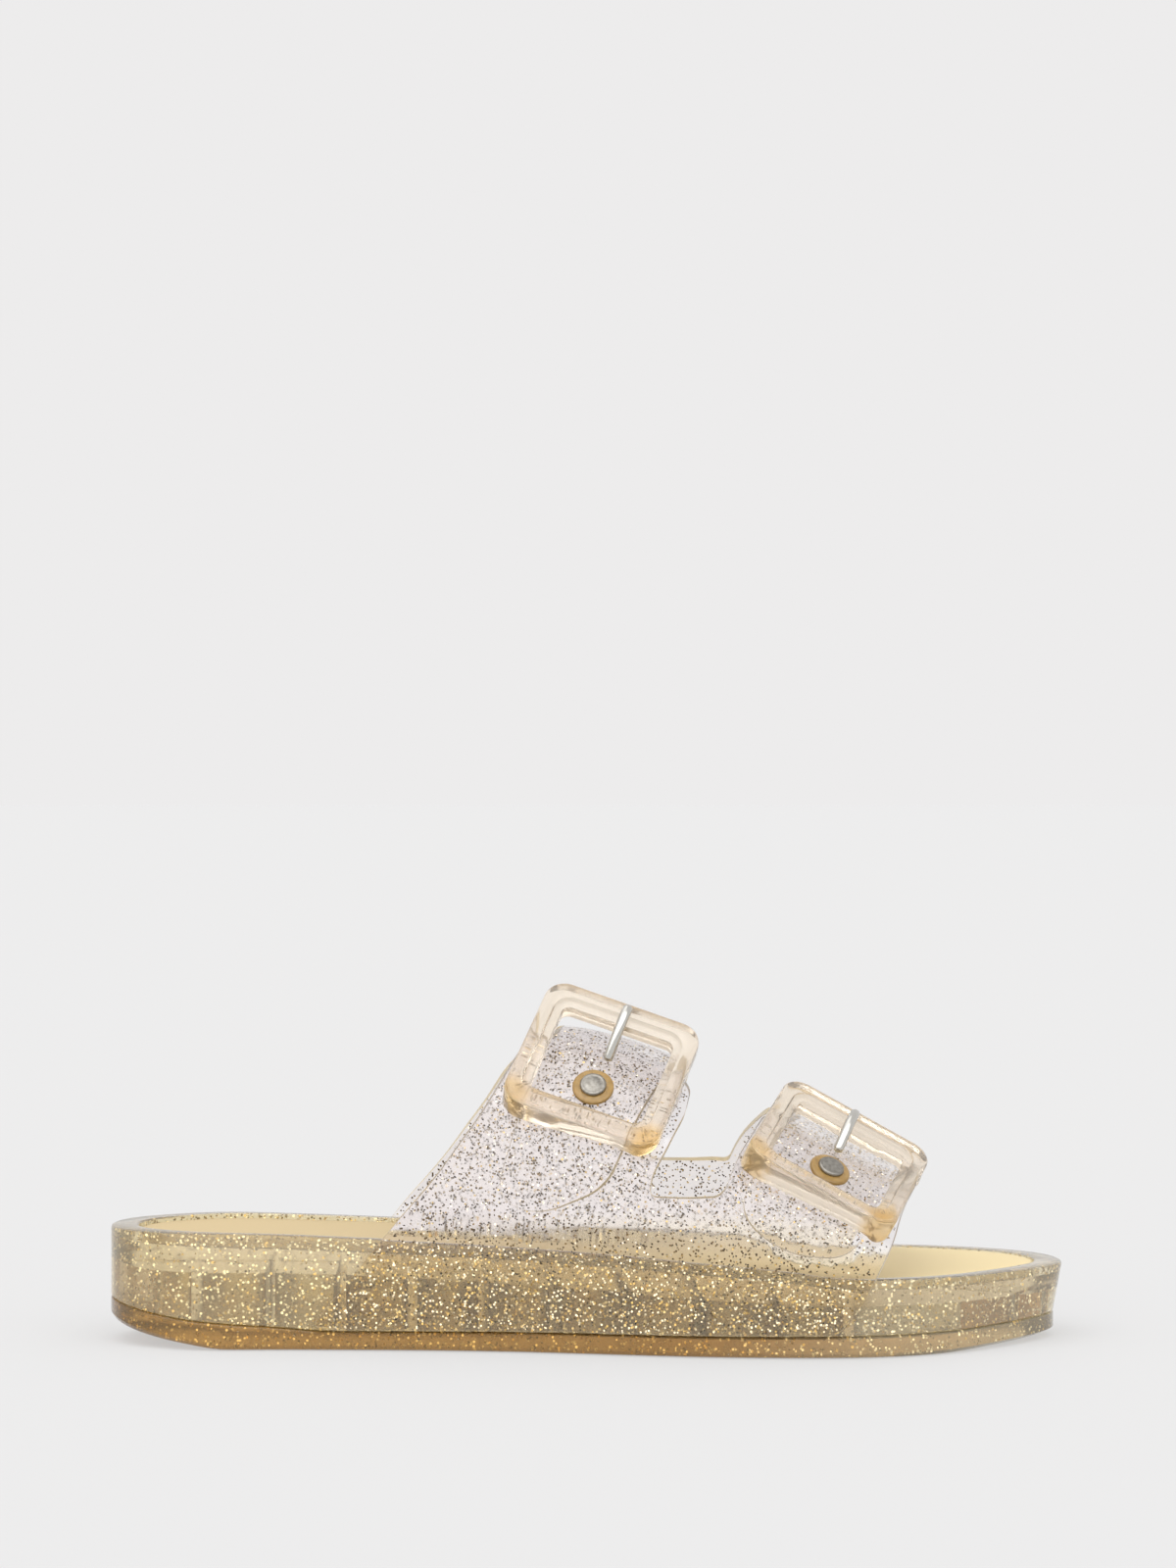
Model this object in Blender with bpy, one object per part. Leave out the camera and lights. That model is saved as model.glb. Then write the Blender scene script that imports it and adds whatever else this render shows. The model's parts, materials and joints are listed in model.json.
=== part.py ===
"""Two-strap jelly sandal for the right foot, injection moulded in clear PVC.

Frame: metres, +Z up, +X towards the toe, +Y towards the inner side of the foot.
The flat of the outsole lies on Z = 0 and the origin is under the middle of the length.
Sizes below are in millimetres; tables hold shares of the named sizes.
"""
import math

import bpy
import numpy as np
from mathutils import Vector
from mathutils.bvhtree import BVHTree
from mathutils.geometry import delaunay_2d_cdt

MM = 0.001

# Driving dimensions, mm
LENGTH = 258.0          # heel to toe over the sole
BALL_WIDTH = 94.0       # sole across the ball
HEEL_HEIGHT = 30.8      # rim of the sole above the floor at the heel
INSTEP = 84.0           # crest of the rear strap above the floor
WALL = 2.1              # moulded wall of quarters and straps
FLANGE_WALL = 1.3       # wall where the upper wraps the side of the sole
GAP = 0.3               # clearance between pieces that touch
STRAP_WIDTH = 30.0      # strap where it runs through a buckle
SOLE_WALL = 5.0         # side wall round the cavities of the midsole
RIB = 2.6               # ribs between the cavities
RIB_PITCH = 19.0
HEEL_BAY, FIRST_RIB = 9.0, 25.7     # from the heel end to the first bay and to the first rib
TOE_BAY, LAST_RIB = 7.0, 18.0       # from the toe end to the last bay and to the last rib
SPLIT = 2.0             # lengthwise rib off the middle line, towards the medial side
INSOLE = 3.0            # insole thickness
BUCKLE_WIDTH, BUCKLE_LENGTH, BUCKLE_THICK = 43.5, 42.0, 5.0
WINDOW_WIDTH, WINDOW_LENGTH = 31.4, 28.5
BUCKLE_CORNER, LEDGE, LEDGE_DROP = 6.0, 2.2, 1.4
PRONG = 2.8             # diameter of the prong wire
CAP, BOSS = 7.0, 11.0   # diameters of the rivet cap and the boss under it

# Sole outline. along: share of LENGTH from the heel; lateral, medial: shares of BALL_WIDTH
OUTLINE = (
    # along, lateral, medial
    (0.012, 0.149, 0.138),
    (0.039, 0.239, 0.229),
    (0.097, 0.319, 0.324),
    (0.198, 0.326, 0.340),
    (0.322, 0.340, 0.351),
    (0.423, 0.372, 0.362),
    (0.527, 0.436, 0.404),
    (0.620, 0.489, 0.468),
    (0.721, 0.511, 0.500),
    (0.798, 0.489, 0.497),
    (0.872, 0.400, 0.464),
    (0.930, 0.256, 0.396),
    (0.972, 0.122, 0.296),
    (0.993, 0.024, 0.192),
)
TOE_OFFSET = 0.085      # toe point towards the medial side, share of BALL_WIDTH

# Heights along the sole, shares of HEEL_HEIGHT
HEIGHTS = (
    # along, rim, step down to insole, parting, cavity ceiling, bottom
    (0.000, 1.000, 0.040, 0.383, 0.646, 0.208),
    (0.037, 1.000, 0.040, 0.318, 0.646, 0.120),
    (0.089, 1.000, 0.040, 0.255, 0.646, 0.042),
    (0.130, 0.997, 0.040, 0.226, 0.646, 0.000),
    (0.174, 0.988, 0.040, 0.203, 0.646, 0.000),
    (0.244, 0.966, 0.038, 0.165, 0.633, 0.000),
    (0.322, 0.938, 0.034, 0.166, 0.610, 0.000),
    (0.422, 0.899, 0.028, 0.173, 0.571, 0.000),
    (0.527, 0.853, 0.022, 0.178, 0.529, 0.000),
    (0.620, 0.795, 0.016, 0.179, 0.474, 0.000),
    (0.702, 0.735, 0.012, 0.182, 0.441, 0.000),
    (0.752, 0.679, 0.010, 0.185, 0.419, 0.000),
    (0.798, 0.662, 0.010, 0.187, 0.416, 0.000),
    (0.849, 0.658, 0.010, 0.191, 0.416, 0.000),
    (0.946, 0.655, 0.010, 0.205, 0.416, 0.020),
    (1.000, 0.655, 0.010, 0.221, 0.416, 0.046),
)
RIM_WIDTHS = (
    # along, width of the rim round the insole in mm
    (0.00, 7.4), (0.06, 6.4), (0.15, 4.6), (0.60, 4.6), (0.85, 5.0), (0.95, 6.4), (1.00, 7.4),
)
TOE_DRAFT = 2.3         # the toe wall leans out from the parting line to the rim, mm

# Crest of the upper over the foot. crest: share of INSTEP
CREST = (
    # along, crest
    (0.20, 1.010), (0.36, 1.010), (0.434, 1.003), (0.477, 1.000), (0.539, 0.960),
    (0.593, 0.893), (0.655, 0.803), (0.721, 0.702), (0.771, 0.623), (0.830, 0.536), (0.880, 0.465),
)
CREST_OFFSET = 0.02     # crest line towards the medial side, share of BALL_WIDTH
FULLNESS = 1.98         # exponent of the section: 2 is an ellipse

# Edges of the upper in side view: along, share of LENGTH; up, share of INSTEP
REAR_EDGE = (
    # along, up
    (0.217, 0.079), (0.253, 0.212), (0.291, 0.357), (0.307, 0.418), (0.330, 0.499),
    (0.350, 0.576), (0.370, 0.663), (0.390, 0.748), (0.411, 0.851),
)
REAR_TAB_TOP = ((0.433, 0.950), (0.445, 0.972))
REAR_STRAP_FRONT = (
    # along, up
    (0.604, 0.813), (0.598, 0.746), (0.590, 0.704), (0.580, 0.645), (0.572, 0.601), (0.565, 0.556),
)
NOTCH_BOTTOM = ((0.563, 0.500), (0.600, 0.497), (0.632, 0.500))
NOTCH_RISE_MEDIAL = 0.038      # share of INSTEP
NOTCH_SHIFT_MEDIAL = 0.012     # towards the toe, share of LENGTH
FRONT_STRAP_REAR = (
    # along, up
    (0.640, 0.530), (0.647, 0.586), (0.654, 0.629), (0.667, 0.686), (0.679, 0.730),
)
FRONT_EDGE = (
    # along, up
    (0.8265, 0.475), (0.8155, 0.421), (0.8075, 0.356), (0.797, 0.292), (0.7895, 0.244),
    (0.776, 0.170), (0.751, 0.072),
)

# Straps through the buckles, on the unrolled upper (mm): centre line at the crest, slope, run to the tip
STRAPS = {
    # name: along at crest, lean (mm along per mm of girth), girth of the tab's top, girth of the tip
    "rear": (0.5446, 0.353, 13.0, 63.5),
    "front": (0.790, 0.360, 13.0, 63.0),
}
BUCKLES = {
    # name: centre (shares of LENGTH, BALL_WIDTH, INSTEP), direction across the strap, direction down it,
    # prong: place across the frame (share of half the window), its top above the middle (mm)
    "rear": ((0.0140, -0.2979, 0.8899), (41.0, -6.0, -14.1), (-14.0, -26.0, -29.8), 0.04, 17.4),
    "front": ((0.2550, -0.3404, 0.6107), (37.5, -4.4, -20.6), (-13.4, -36.1, -16.7), -0.10, 15.8),
}
RIVET_DOWN = 6.0        # from the buckle's middle down the strap, mm

# Mesh fineness, mm and degrees
SPACING, TURN = 6.0, 16.0


def table(rows, column, scale):
    """Return a smooth, never overshooting function of X for one column of a table."""
    xs = np.array([(row[0] - 0.5) * LENGTH for row in rows])
    ys = np.array([row[column] * scale for row in rows])
    steps, rises = np.diff(xs), np.diff(ys)
    slopes = rises / steps
    tangents = np.zeros(len(xs))
    tangents[0], tangents[-1] = slopes[0], slopes[-1]
    for i in range(1, len(xs) - 1):
        if slopes[i - 1] * slopes[i] > 0:
            a, b = 2 * steps[i] + steps[i - 1], steps[i] + 2 * steps[i - 1]
            tangents[i] = (a + b) / (a / slopes[i - 1] + b / slopes[i])

    def value(x):
        x = min(max(x, xs[0]), xs[-1])
        i = min(max(int(np.searchsorted(xs, x)) - 1, 0), len(xs) - 2)
        h = steps[i]
        t = (x - xs[i]) / h
        return float(
            ys[i] * (1 + 2 * t) * (1 - t) ** 2 + tangents[i] * h * t * (1 - t) ** 2
            + ys[i + 1] * t * t * (3 - 2 * t) + tangents[i + 1] * h * t * t * (t - 1)
        )

    return value


rim = table(HEIGHTS, 1, HEEL_HEIGHT)
insole_step = table(HEIGHTS, 2, HEEL_HEIGHT)
parting = table(HEIGHTS, 3, HEEL_HEIGHT)
ceiling = table(HEIGHTS, 4, HEEL_HEIGHT)
bottom = table(HEIGHTS, 5, HEEL_HEIGHT)
rim_width = table(RIM_WIDTHS, 1, 1.0)
crest = table(CREST, 1, INSTEP)


def toe_draft(x):
    """How far the side has leaned out at the rim, growing from the ball to the toe."""
    t = min(max((x - 0.31 * LENGTH) / (0.19 * LENGTH), 0.0), 1.0)
    return TOE_DRAFT * t * t * (3 - 2 * t)


# 2-D curves

def spline(points, closed, step=0.5):
    """Smooth curve through points (centripetal), as a dense polyline."""
    pts = [np.array(p, float) for p in points]
    n = len(pts)
    out = []
    for i in range(n if closed else n - 1):
        p1, p2 = pts[i], pts[(i + 1) % n]
        p0 = pts[i - 1] if closed or i else 2 * p1 - p2
        p3 = pts[(i + 2) % n] if closed or i < n - 2 else 2 * p2 - p1
        t1 = max(np.linalg.norm(p1 - p0), 1e-6) ** 0.5
        t2 = t1 + max(np.linalg.norm(p2 - p1), 1e-6) ** 0.5
        t3 = t2 + max(np.linalg.norm(p3 - p2), 1e-6) ** 0.5
        for k in range(max(int(np.linalg.norm(p2 - p1) / step), 1)):
            t = t1 + (t2 - t1) * k / max(int(np.linalg.norm(p2 - p1) / step), 1)
            a1 = (t1 - t) / t1 * p0 + t / t1 * p1
            a2 = (t2 - t) / (t2 - t1) * p1 + (t - t1) / (t2 - t1) * p2
            a3 = (t3 - t) / (t3 - t2) * p2 + (t - t2) / (t3 - t2) * p3
            b1 = (t2 - t) / t2 * a1 + t / t2 * a2
            b2 = (t3 - t) / (t3 - t1) * a2 + (t - t1) / (t3 - t1) * a3
            out.append((t2 - t) / (t2 - t1) * b1 + (t - t1) / (t2 - t1) * b2)
    if not closed:
        out.append(pts[-1])
    return np.array(out)


def evenly(line, closed, step=0.5):
    """Resample a polyline at an even step."""
    pts = np.vstack([line, line[:1]]) if closed else line
    along = np.concatenate([[0], np.cumsum(np.linalg.norm(np.diff(pts, axis=0), axis=1))])
    count = max(int(round(along[-1] / step)), 4)
    at = np.linspace(0, along[-1], count + 1)
    if closed:
        at = at[:-1]
    return np.stack([np.interp(at, along, pts[:, 0]), np.interp(at, along, pts[:, 1])], axis=1)


def softened(line, radius, closed, step=0.5):
    """Round the corners of a polyline by averaging along it; radius is a number or a function of a point."""
    pts = evenly(line, closed, step)
    if closed:
        n, out = len(pts), []
        for i in range(n):
            reach = int((radius(pts[i]) if callable(radius) else radius) / step)
            out.append(pts[np.arange(i - reach, i + reach + 1) % n].mean(axis=0))
        return np.array(out)
    reach = int(radius / step)
    out = pts.copy()
    for i in range(1, len(pts) - 1):
        r = min(reach, i, len(pts) - 1 - i)
        out[i] = pts[i - r:i + r + 1].mean(axis=0)
    return out


def thinned(line, closed, keep=(), spacing=SPACING, turn=TURN):
    """Keep only the points that the curve needs: by length, by turning, and those listed."""
    n = len(line)
    forced = {int(np.argmin(np.linalg.norm(line - np.array(k), axis=1))) for k in keep}
    forced |= {0} if closed else {0, n - 1}
    heading = np.unwrap([math.atan2(*(line[(i + 1) % n] - line[i - 1])[::-1]) for i in range(n)])
    start, out, last = 0, [0], 0
    for i in range(start + 1, n):
        length = np.linalg.norm(line[i] - line[last])
        bend = abs(heading[i] - heading[last])
        near_forced = any(0 < abs(f - i) * 0.5 < 0.3 * spacing and f >= i for f in forced)
        if i in forced:
            if np.linalg.norm(line[i] - line[last]) < 0.3 * spacing and last not in forced and len(out) > 1:
                out.pop()
            out.append(i)
            last = i
        elif (length > spacing or bend > math.radians(turn)) and not near_forced and length > 0.9:
            out.append(i)
            last = i
    if closed and len(out) > 3 and np.linalg.norm(line[out[-1]] - line[out[0]]) < 0.3 * spacing:
        if out[-1] not in forced:
            out.pop()
    return [tuple(line[i]) for i in out]


def inset(line, distance):
    """Move a closed counter-clockwise curve inwards; distance is a number or a function of X."""
    ahead, behind = np.roll(line, -3, axis=0), np.roll(line, 3, axis=0)
    tangent = ahead - behind
    tangent /= np.linalg.norm(tangent, axis=1)[:, None]
    inward = np.stack([-tangent[:, 1], tangent[:, 0]], axis=1)
    amounts = np.array([distance(p[0]) if callable(distance) else distance for p in line])
    return line + inward * amounts[:, None]


def inside(polygon, points):
    """Even-odd test of points against a polygon."""
    poly, pts = np.array(polygon), np.array(points)
    hit = np.zeros(len(pts), bool)
    ax, ay = poly[:, 0], poly[:, 1]
    bx, by = np.roll(ax, -1), np.roll(ay, -1)
    for x0, y0, x1, y1 in zip(ax, ay, bx, by):
        if y0 == y1:
            continue
        cross = (y0 > pts[:, 1]) != (y1 > pts[:, 1])
        hit ^= cross & (pts[:, 0] < (x1 - x0) * (pts[:, 1] - y0) / (y1 - y0) + x0)
    return hit


def triangulate(loops, holes=(), chains=(), spacing=SPACING):
    """Triangles of a plane region: closed loops and holes, plus open chains of points kept as edges.

    Returns the points, and the triangles in groups that the chains part.
    """
    points, edges = [], []

    def add(path, closed):
        first = len(points)
        ids = []
        for p in path:
            match = next((i for i, q in enumerate(points) if abs(q[0] - p[0]) + abs(q[1] - p[1]) < 1e-4), None)
            if match is None:
                points.append(tuple(p))
                match = len(points) - 1
            ids.append(match)
        edges.extend(zip(ids, ids[1:] + (ids[:1] if closed else [])))
        return first

    for path in (*loops, *holes):
        add(path, True)
    for path in chains:
        add(path, False)
    border = np.array(points)
    low, high = border.min(axis=0), border.max(axis=0)
    grid = []
    rise = spacing * math.sqrt(0.75)
    for row in range(int((high[1] - low[1]) / rise) + 2):
        for column in range(int((high[0] - low[0]) / spacing) + 2):
            grid.append((low[0] + (column + 0.5 * (row % 2)) * spacing, low[1] + (row + 0.3) * rise))
    grid = np.array(grid)
    ok = np.zeros(len(grid), bool)
    for path in loops:
        ok |= inside(path, grid)
    for path in holes:
        ok &= ~inside(path, grid)
    near = np.full(len(grid), 1e9)
    for a, b in edges:
        p, q = border[a], border[b]
        t = np.clip(((grid - p) @ (q - p)) / max((q - p) @ (q - p), 1e-9), 0, 1)
        near = np.minimum(near, np.linalg.norm(grid - (p + t[:, None] * (q - p)), axis=1))
    points += [tuple(g) for g in grid[ok & (near > 0.5 * spacing)]]
    found, _, faces, _, _, _ = delaunay_2d_cdt([Vector(p) for p in points], edges, [], 0, 1e-5)
    if len(found) != len(points):
        raise ValueError("the region's edges cross or touch")
    return points, grouped(points, faces, edges, loops, holes)


def grouped(points, faces, edges, loops, holes):
    """Triangles inside the loops and outside the holes, as groups that the kept edges part."""
    walls = {frozenset(e) for e in edges}
    owner = {}
    for number, f in enumerate(faces):
        for a, b in zip(f, (*f[1:], f[0])):
            owner.setdefault(frozenset((a, b)), []).append(number)
    group, groups = {}, []
    for start in range(len(faces)):
        if start in group:
            continue
        group[start], queue, members = len(groups), [start], []
        while queue:
            f = queue.pop()
            members.append(f)
            corners = faces[f]
            for a, b in zip(corners, (*corners[1:], corners[0])):
                if frozenset((a, b)) in walls:
                    continue
                for other in owner[frozenset((a, b))]:
                    if other not in group:
                        group[other] = len(groups)
                        queue.append(other)
        groups.append([tuple(faces[f]) for f in sorted(members)])
    kept = []
    for members in groups:
        middle, area = middle_of(points, members)
        if area < 1e-3:
            continue
        ok = any(inside(path, [middle])[0] for path in loops)
        if ok and not any(inside(path, [middle])[0] for path in holes):
            kept.append(members)
    return kept


def middle_of(points, faces):
    """Middle and area of the largest triangle of a group."""
    best, area = None, -1.0
    for f in faces:
        a, b, c = (np.array(points[i]) for i in f)
        size = abs((b - a)[0] * (c - a)[1] - (b - a)[1] * (c - a)[0]) / 2
        if size > area:
            best, area = (a + b + c) / 3, size
    return best, area


# Solids

def material(name, colour, roughness, metallic=0.0, transmission=0.0):
    """A Principled material with one colour."""
    made = bpy.data.materials.new(name)
    made.use_nodes = True
    shader = made.node_tree.nodes["Principled BSDF"]
    shader.inputs["Base Color"].default_value = (*colour, 1.0)
    shader.inputs["Roughness"].default_value = roughness
    shader.inputs["Metallic"].default_value = metallic
    shader.inputs["Transmission Weight"].default_value = transmission
    return made


def solid(name, points, faces, finish, sharp=35.0):
    """One object from points in millimetres, smooth except over sharp edges."""
    mesh = bpy.data.meshes.new(name)
    mesh.from_pydata([tuple(c * MM for c in p) for p in points], [], [list(f) for f in faces])
    mesh.validate()
    mesh.shade_smooth()
    mesh.set_sharp_from_angle(angle=math.radians(sharp))
    mesh.materials.append(finish)
    made = bpy.data.objects.new(name, mesh)
    bpy.context.scene.collection.objects.link(made)
    return made


class Build:
    """Collects shared points and faces, with faces wound to point out."""

    def __init__(self):
        self.points, self.faces, self.index = [], [], {}

    def at(self, point):
        key = tuple(round(c, 4) for c in point)
        if key not in self.index:
            self.index[key] = len(self.points)
            self.points.append(tuple(float(c) for c in point))
        return self.index[key]

    def face(self, *points):
        ids = []
        for p in points:
            i = self.at(p)
            if i not in ids:
                ids.append(i)
        if len(ids) > 2:
            self.faces.append(ids)

    def sheet(self, points, groups, height, up):
        """Triangles lifted to a height function of (x, y)."""
        for f in (f for members in groups for f in members):
            order = f if up else f[::-1]
            self.face(*[(points[i][0], points[i][1], height(points[i][0], points[i][1])) for i in order])

    def band(self, low, high, outward=True):
        """Wall between two closed loops of equal length, counter-clockwise seen from above."""
        n = len(low)
        for i in range(n):
            j = (i + 1) % n
            quad = (low[i], low[j], high[j], high[i])
            self.face(*(quad if outward else quad[::-1]))


def sole_curve():
    """Plan outline of the sole, counter-clockwise from the heel point."""
    lateral = [((a - 0.5) * LENGTH, -l * BALL_WIDTH) for a, l, m in OUTLINE]
    medial = [((a - 0.5) * LENGTH, m * BALL_WIDTH) for a, l, m in OUTLINE]
    toe = (0.5 * LENGTH, TOE_OFFSET * BALL_WIDTH)
    return spline([(-0.5 * LENGTH, 0.0), *lateral, toe, *medial[::-1]], True)


SOLE = sole_curve()
SOLE_LOOP = thinned(SOLE, True)
SOLE_IDS = [int(np.argmin(np.linalg.norm(SOLE - np.array(p), axis=1))) for p in SOLE_LOOP]


def ring(distance):
    """The sole's loop moved inwards, point for point."""
    moved = inset(SOLE, distance)
    return [tuple(moved[i]) for i in SOLE_IDS]


def lifted(loop, height):
    """A loop raised to a height function of X."""
    return [(x, y, height(x)) for x, y in loop]


def outsole(finish):
    """The flat tread layer, bevelled up at the heel and sprung at the toe."""
    body = Build()
    base = ring(lambda x: 1.6 + 1.9 * toe_draft(x))
    foot = ring(lambda x: 0.8 + 1.7 * toe_draft(x))
    edge = ring(toe_draft)
    lip = ring(lambda x: 0.7 + toe_draft(x))
    body.sheet(*triangulate([base], spacing=2.2 * SPACING), lambda x, y: bottom(x), False)
    body.band(lifted(base, bottom), lifted(foot, lambda x: bottom(x) + 0.25))
    body.band(lifted(foot, lambda x: bottom(x) + 0.25), lifted(edge, lambda x: bottom(x) + 1.2))
    body.band(lifted(edge, lambda x: bottom(x) + 1.2), lifted(edge, lambda x: parting(x) - 0.9))
    body.band(lifted(edge, lambda x: parting(x) - 0.9), lifted(lip, lambda x: parting(x) - 0.75 * GAP))
    body.sheet(*triangulate([lip], spacing=2.2 * SPACING), lambda x, y: parting(x) - 0.75 * GAP, True)
    return solid("outsole", body.points, body.faces, finish)


def seat(x):
    """Floor of the recess that the insole lies in."""
    return rim(x) - insole_step(x) - INSOLE


def cavities():
    """Plan loops of the midsole's cavities: bays between cross ribs, split by ribs lengthwise."""
    heel, toe = -0.5 * LENGTH, 0.5 * LENGTH
    inner = inset(SOLE, lambda x: SOLE_WALL + toe_draft(x) + 4.0 * max(0.0, x / heel - 0.88) / 0.12)
    first, last = heel + FIRST_RIB, toe - LAST_RIB
    count = int((last - first) / RIB_PITCH - 1.5) + 1
    ribs = [first + RIB_PITCH * i for i in range(count)] + [last]
    bays = []
    for back, front in zip([heel + HEEL_BAY, *ribs], [*ribs, toe - TOE_BAY]):
        long = front - back > 1.5 * RIB_PITCH
        x0, x1 = back + 0.5 * RIB, front - 0.5 * RIB
        for side in (-1, 1):
            edge = sorted(tuple(p) for p in inner if x0 <= p[0] <= x1 and (p[1] - SPLIT) * side > RIB + 3.0)
            if len(edge) < 8:
                continue
            far = [(x1, edge[-1][1]), *edge[-20:10:-20], (x0, edge[0][1])]
            line = SPLIT + side * (0.36 * RIB_PITCH if long else 0.5 * RIB)
            loop = [(x0, line), (x1, line), *far]
            bays.append(softened(np.array(loop if side > 0 else loop[::-1]), 1.0, True, 0.25))
        if long:
            low, high = SPLIT + RIB - 0.36 * RIB_PITCH, SPLIT - RIB + 0.36 * RIB_PITCH
            loop = [(x0, low), (x1, low), (x1, high), (x0, high)]
            bays.append(softened(np.array(loop), 1.0, True, 0.25))
    return [thinned(b, True, spacing=60.0, turn=35.0) for b in bays]


def midsole(finish):
    """The deep clear sole: rim and insole recess above, ribbed cavities open towards the outsole."""
    body = Build()
    low = ring(lambda x: 0.7 + toe_draft(x))
    low_edge = ring(toe_draft)
    rim_edge = ring(0.0)
    rim_top = ring(0.9)
    seat_loop = ring(rim_width)
    bays = cavities()
    base = lambda x: parting(x) + 0.75 * GAP
    body.sheet(*triangulate([low], bays, spacing=3 * SPACING), lambda x, y: base(x), False)
    body.band(lifted(low, base), lifted(low_edge, lambda x: base(x) + 0.75))
    body.band(lifted(low_edge, lambda x: base(x) + 0.75), lifted(rim_edge, lambda x: rim(x) - 0.9))
    body.band(lifted(rim_edge, lambda x: rim(x) - 0.9), lifted(rim_top, rim))
    body.sheet(*triangulate([rim_top], [seat_loop], spacing=4 * SPACING), lambda x, y: rim(x), True)
    body.band(lifted(seat_loop, seat), lifted(seat_loop, rim), False)
    body.sheet(*triangulate([seat_loop], spacing=2.2 * SPACING), lambda x, y: seat(x), True)
    for bay in bays:
        body.band(lifted(bay, base), lifted(bay, ceiling), False)
        body.sheet(*triangulate([bay], spacing=3 * SPACING), lambda x, y: ceiling(x), False)
    return solid("midsole", body.points, body.faces, finish)


def insole(finish):
    """Smooth footbed lying in the recess, its top edge eased."""
    body = Build()
    outer = ring(lambda x: rim_width(x) + GAP)
    eased = ring(lambda x: rim_width(x) + GAP + 0.8)
    under = lambda x: seat(x) + GAP
    top = lambda x: seat(x) + INSOLE
    body.sheet(*triangulate([outer], spacing=2.2 * SPACING), lambda x, y: under(x), False)
    body.band(lifted(outer, under), lifted(outer, lambda x: top(x) - 0.7))
    body.band(lifted(outer, lambda x: top(x) - 0.7), lifted(eased, top))
    body.sheet(*triangulate([eased], spacing=2.2 * SPACING), lambda x, y: top(x), True)
    return solid("insole", body.points, body.faces, finish)


# The upper: a surface over the foot, unrolled to (x, girth), girth 0 on the crest and < 0 laterally

class Last:
    """Inner surface of the upper, from the sole's side, the rim, and the crest."""

    def __init__(self):
        side = inset(SOLE, -1.5 * GAP)
        self.edges = {}
        for sign in (-1, 1):
            part = side[(side[:, 1] * sign > 0) & (np.abs(side[:, 0]) < 0.47 * LENGTH)]
            part = part[np.argsort(part[:, 0])]
            self.edges[sign] = part
        self.cache = {}

    def section(self, x):
        """Girth, Y and Z along the section at X, from lateral to medial."""
        key = round(x, 3)
        if key not in self.cache:
            halves = {}
            for sign in (-1, 1):
                foot_y = float(np.interp(x, self.edges[sign][:, 0], self.edges[sign][:, 1]))
                middle = CREST_OFFSET * BALL_WIDTH
                base, top = rim(x), crest(x) - WALL
                angle = np.linspace(0, math.pi / 2, 90)
                ys = middle + (foot_y - middle) * np.cos(angle) ** (2 / FULLNESS)
                zs = base + (top - base) * np.sin(angle) ** (2 / FULLNESS)
                ys, zs = np.concatenate([[foot_y] * 2, ys]), np.concatenate([[0.0, 0.5 * base], zs])
                girth = np.concatenate([[0], np.cumsum(np.hypot(np.diff(ys), np.diff(zs)))])
                halves[sign] = (girth - girth[-1], ys, zs)
            low, high = halves[-1], halves[1]
            self.cache[key] = (
                np.concatenate([low[0], -high[0][::-1][1:]]),
                np.concatenate([low[1], high[1][::-1][1:]]),
                np.concatenate([low[2], high[2][::-1][1:]]),
            )
        return self.cache[key]

    def point(self, x, girth):
        g, ys, zs = self.section(x)
        return np.array([x, np.interp(girth, g, ys), np.interp(girth, g, zs)])

    def normal(self, x, girth):
        along = self.point(x + 1.0, girth) - self.point(x - 1.0, girth)
        round_ = self.point(x, girth + 1.0) - self.point(x, girth - 1.0)
        n = np.cross(along, round_)
        return n / np.linalg.norm(n)

    def girth(self, x, z, side):
        """Girth at which the section at X reaches a height on one side."""
        g, ys, zs = self.section(x)
        half = g <= 0 if side < 0 else g >= 0
        order = np.argsort(zs[half])
        return float(np.interp(z, zs[half][order], g[half][order]))


LAST = Last()


def wall_at(x, girth):
    """Wall thickness: full over the foot, thinner where it wraps the sole's side."""
    z = LAST.point(x, girth)[2]
    t = min(max((z - rim(x) + 3.0) / 9.0, 0.0), 1.0)
    return FLANGE_WALL + (WALL - FLANGE_WALL) * t * t * (3 - 2 * t)


def on_side(rows, side, rise=0.0, shift=0.0):
    """Rows of a side-view table as points of the unrolled upper, raised and moved by shares."""
    out = []
    for along, up in rows:
        x, z = (along + shift - 0.5) * LENGTH, (up + rise) * INSTEP
        lean = min(max((z - rim(x)) / (crest(x) - rim(x)), 0.0), 1.0)
        out.append((x, LAST.girth(x, z - WALL * lean, side)))
    return out


def strap_frame(name):
    """X at the crest and slope of a strap's middle line on the unrolled upper."""
    at, lean, _, _ = STRAPS[name]
    return (at - 0.5) * LENGTH, lean


def strap_edge(name, side, girth):
    """Point of one edge of a strap at a girth; side +1 is towards the toe."""
    x, lean = strap_frame(name)
    half = 0.5 * STRAP_WIDTH * math.hypot(lean, 1.0)
    return (x + lean * girth + side * half, girth)


def flange(side):
    """Lower edge of the upper along the parting line, heel to toe."""
    out = []
    for x in np.linspace((REAR_EDGE[0][0] - 0.5) * LENGTH + 6, (FRONT_EDGE[-1][0] - 0.5) * LENGTH - 6, 12):
        out.append((float(x), LAST.girth(x, parting(x) + 1.5 * GAP, side)))
    return out


def edge_ease(point):
    """Rounding along the upper's edges: tight at tabs and notches, wide where a strap turns over the crest."""
    t = min(max((16.0 - abs(point[1])) / 8.0, 0.0), 1.0)
    return 2.2 + 7.0 * t * t * (3 - 2 * t) * (1.0 if point[1] > -8.0 else 0.35)


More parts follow.
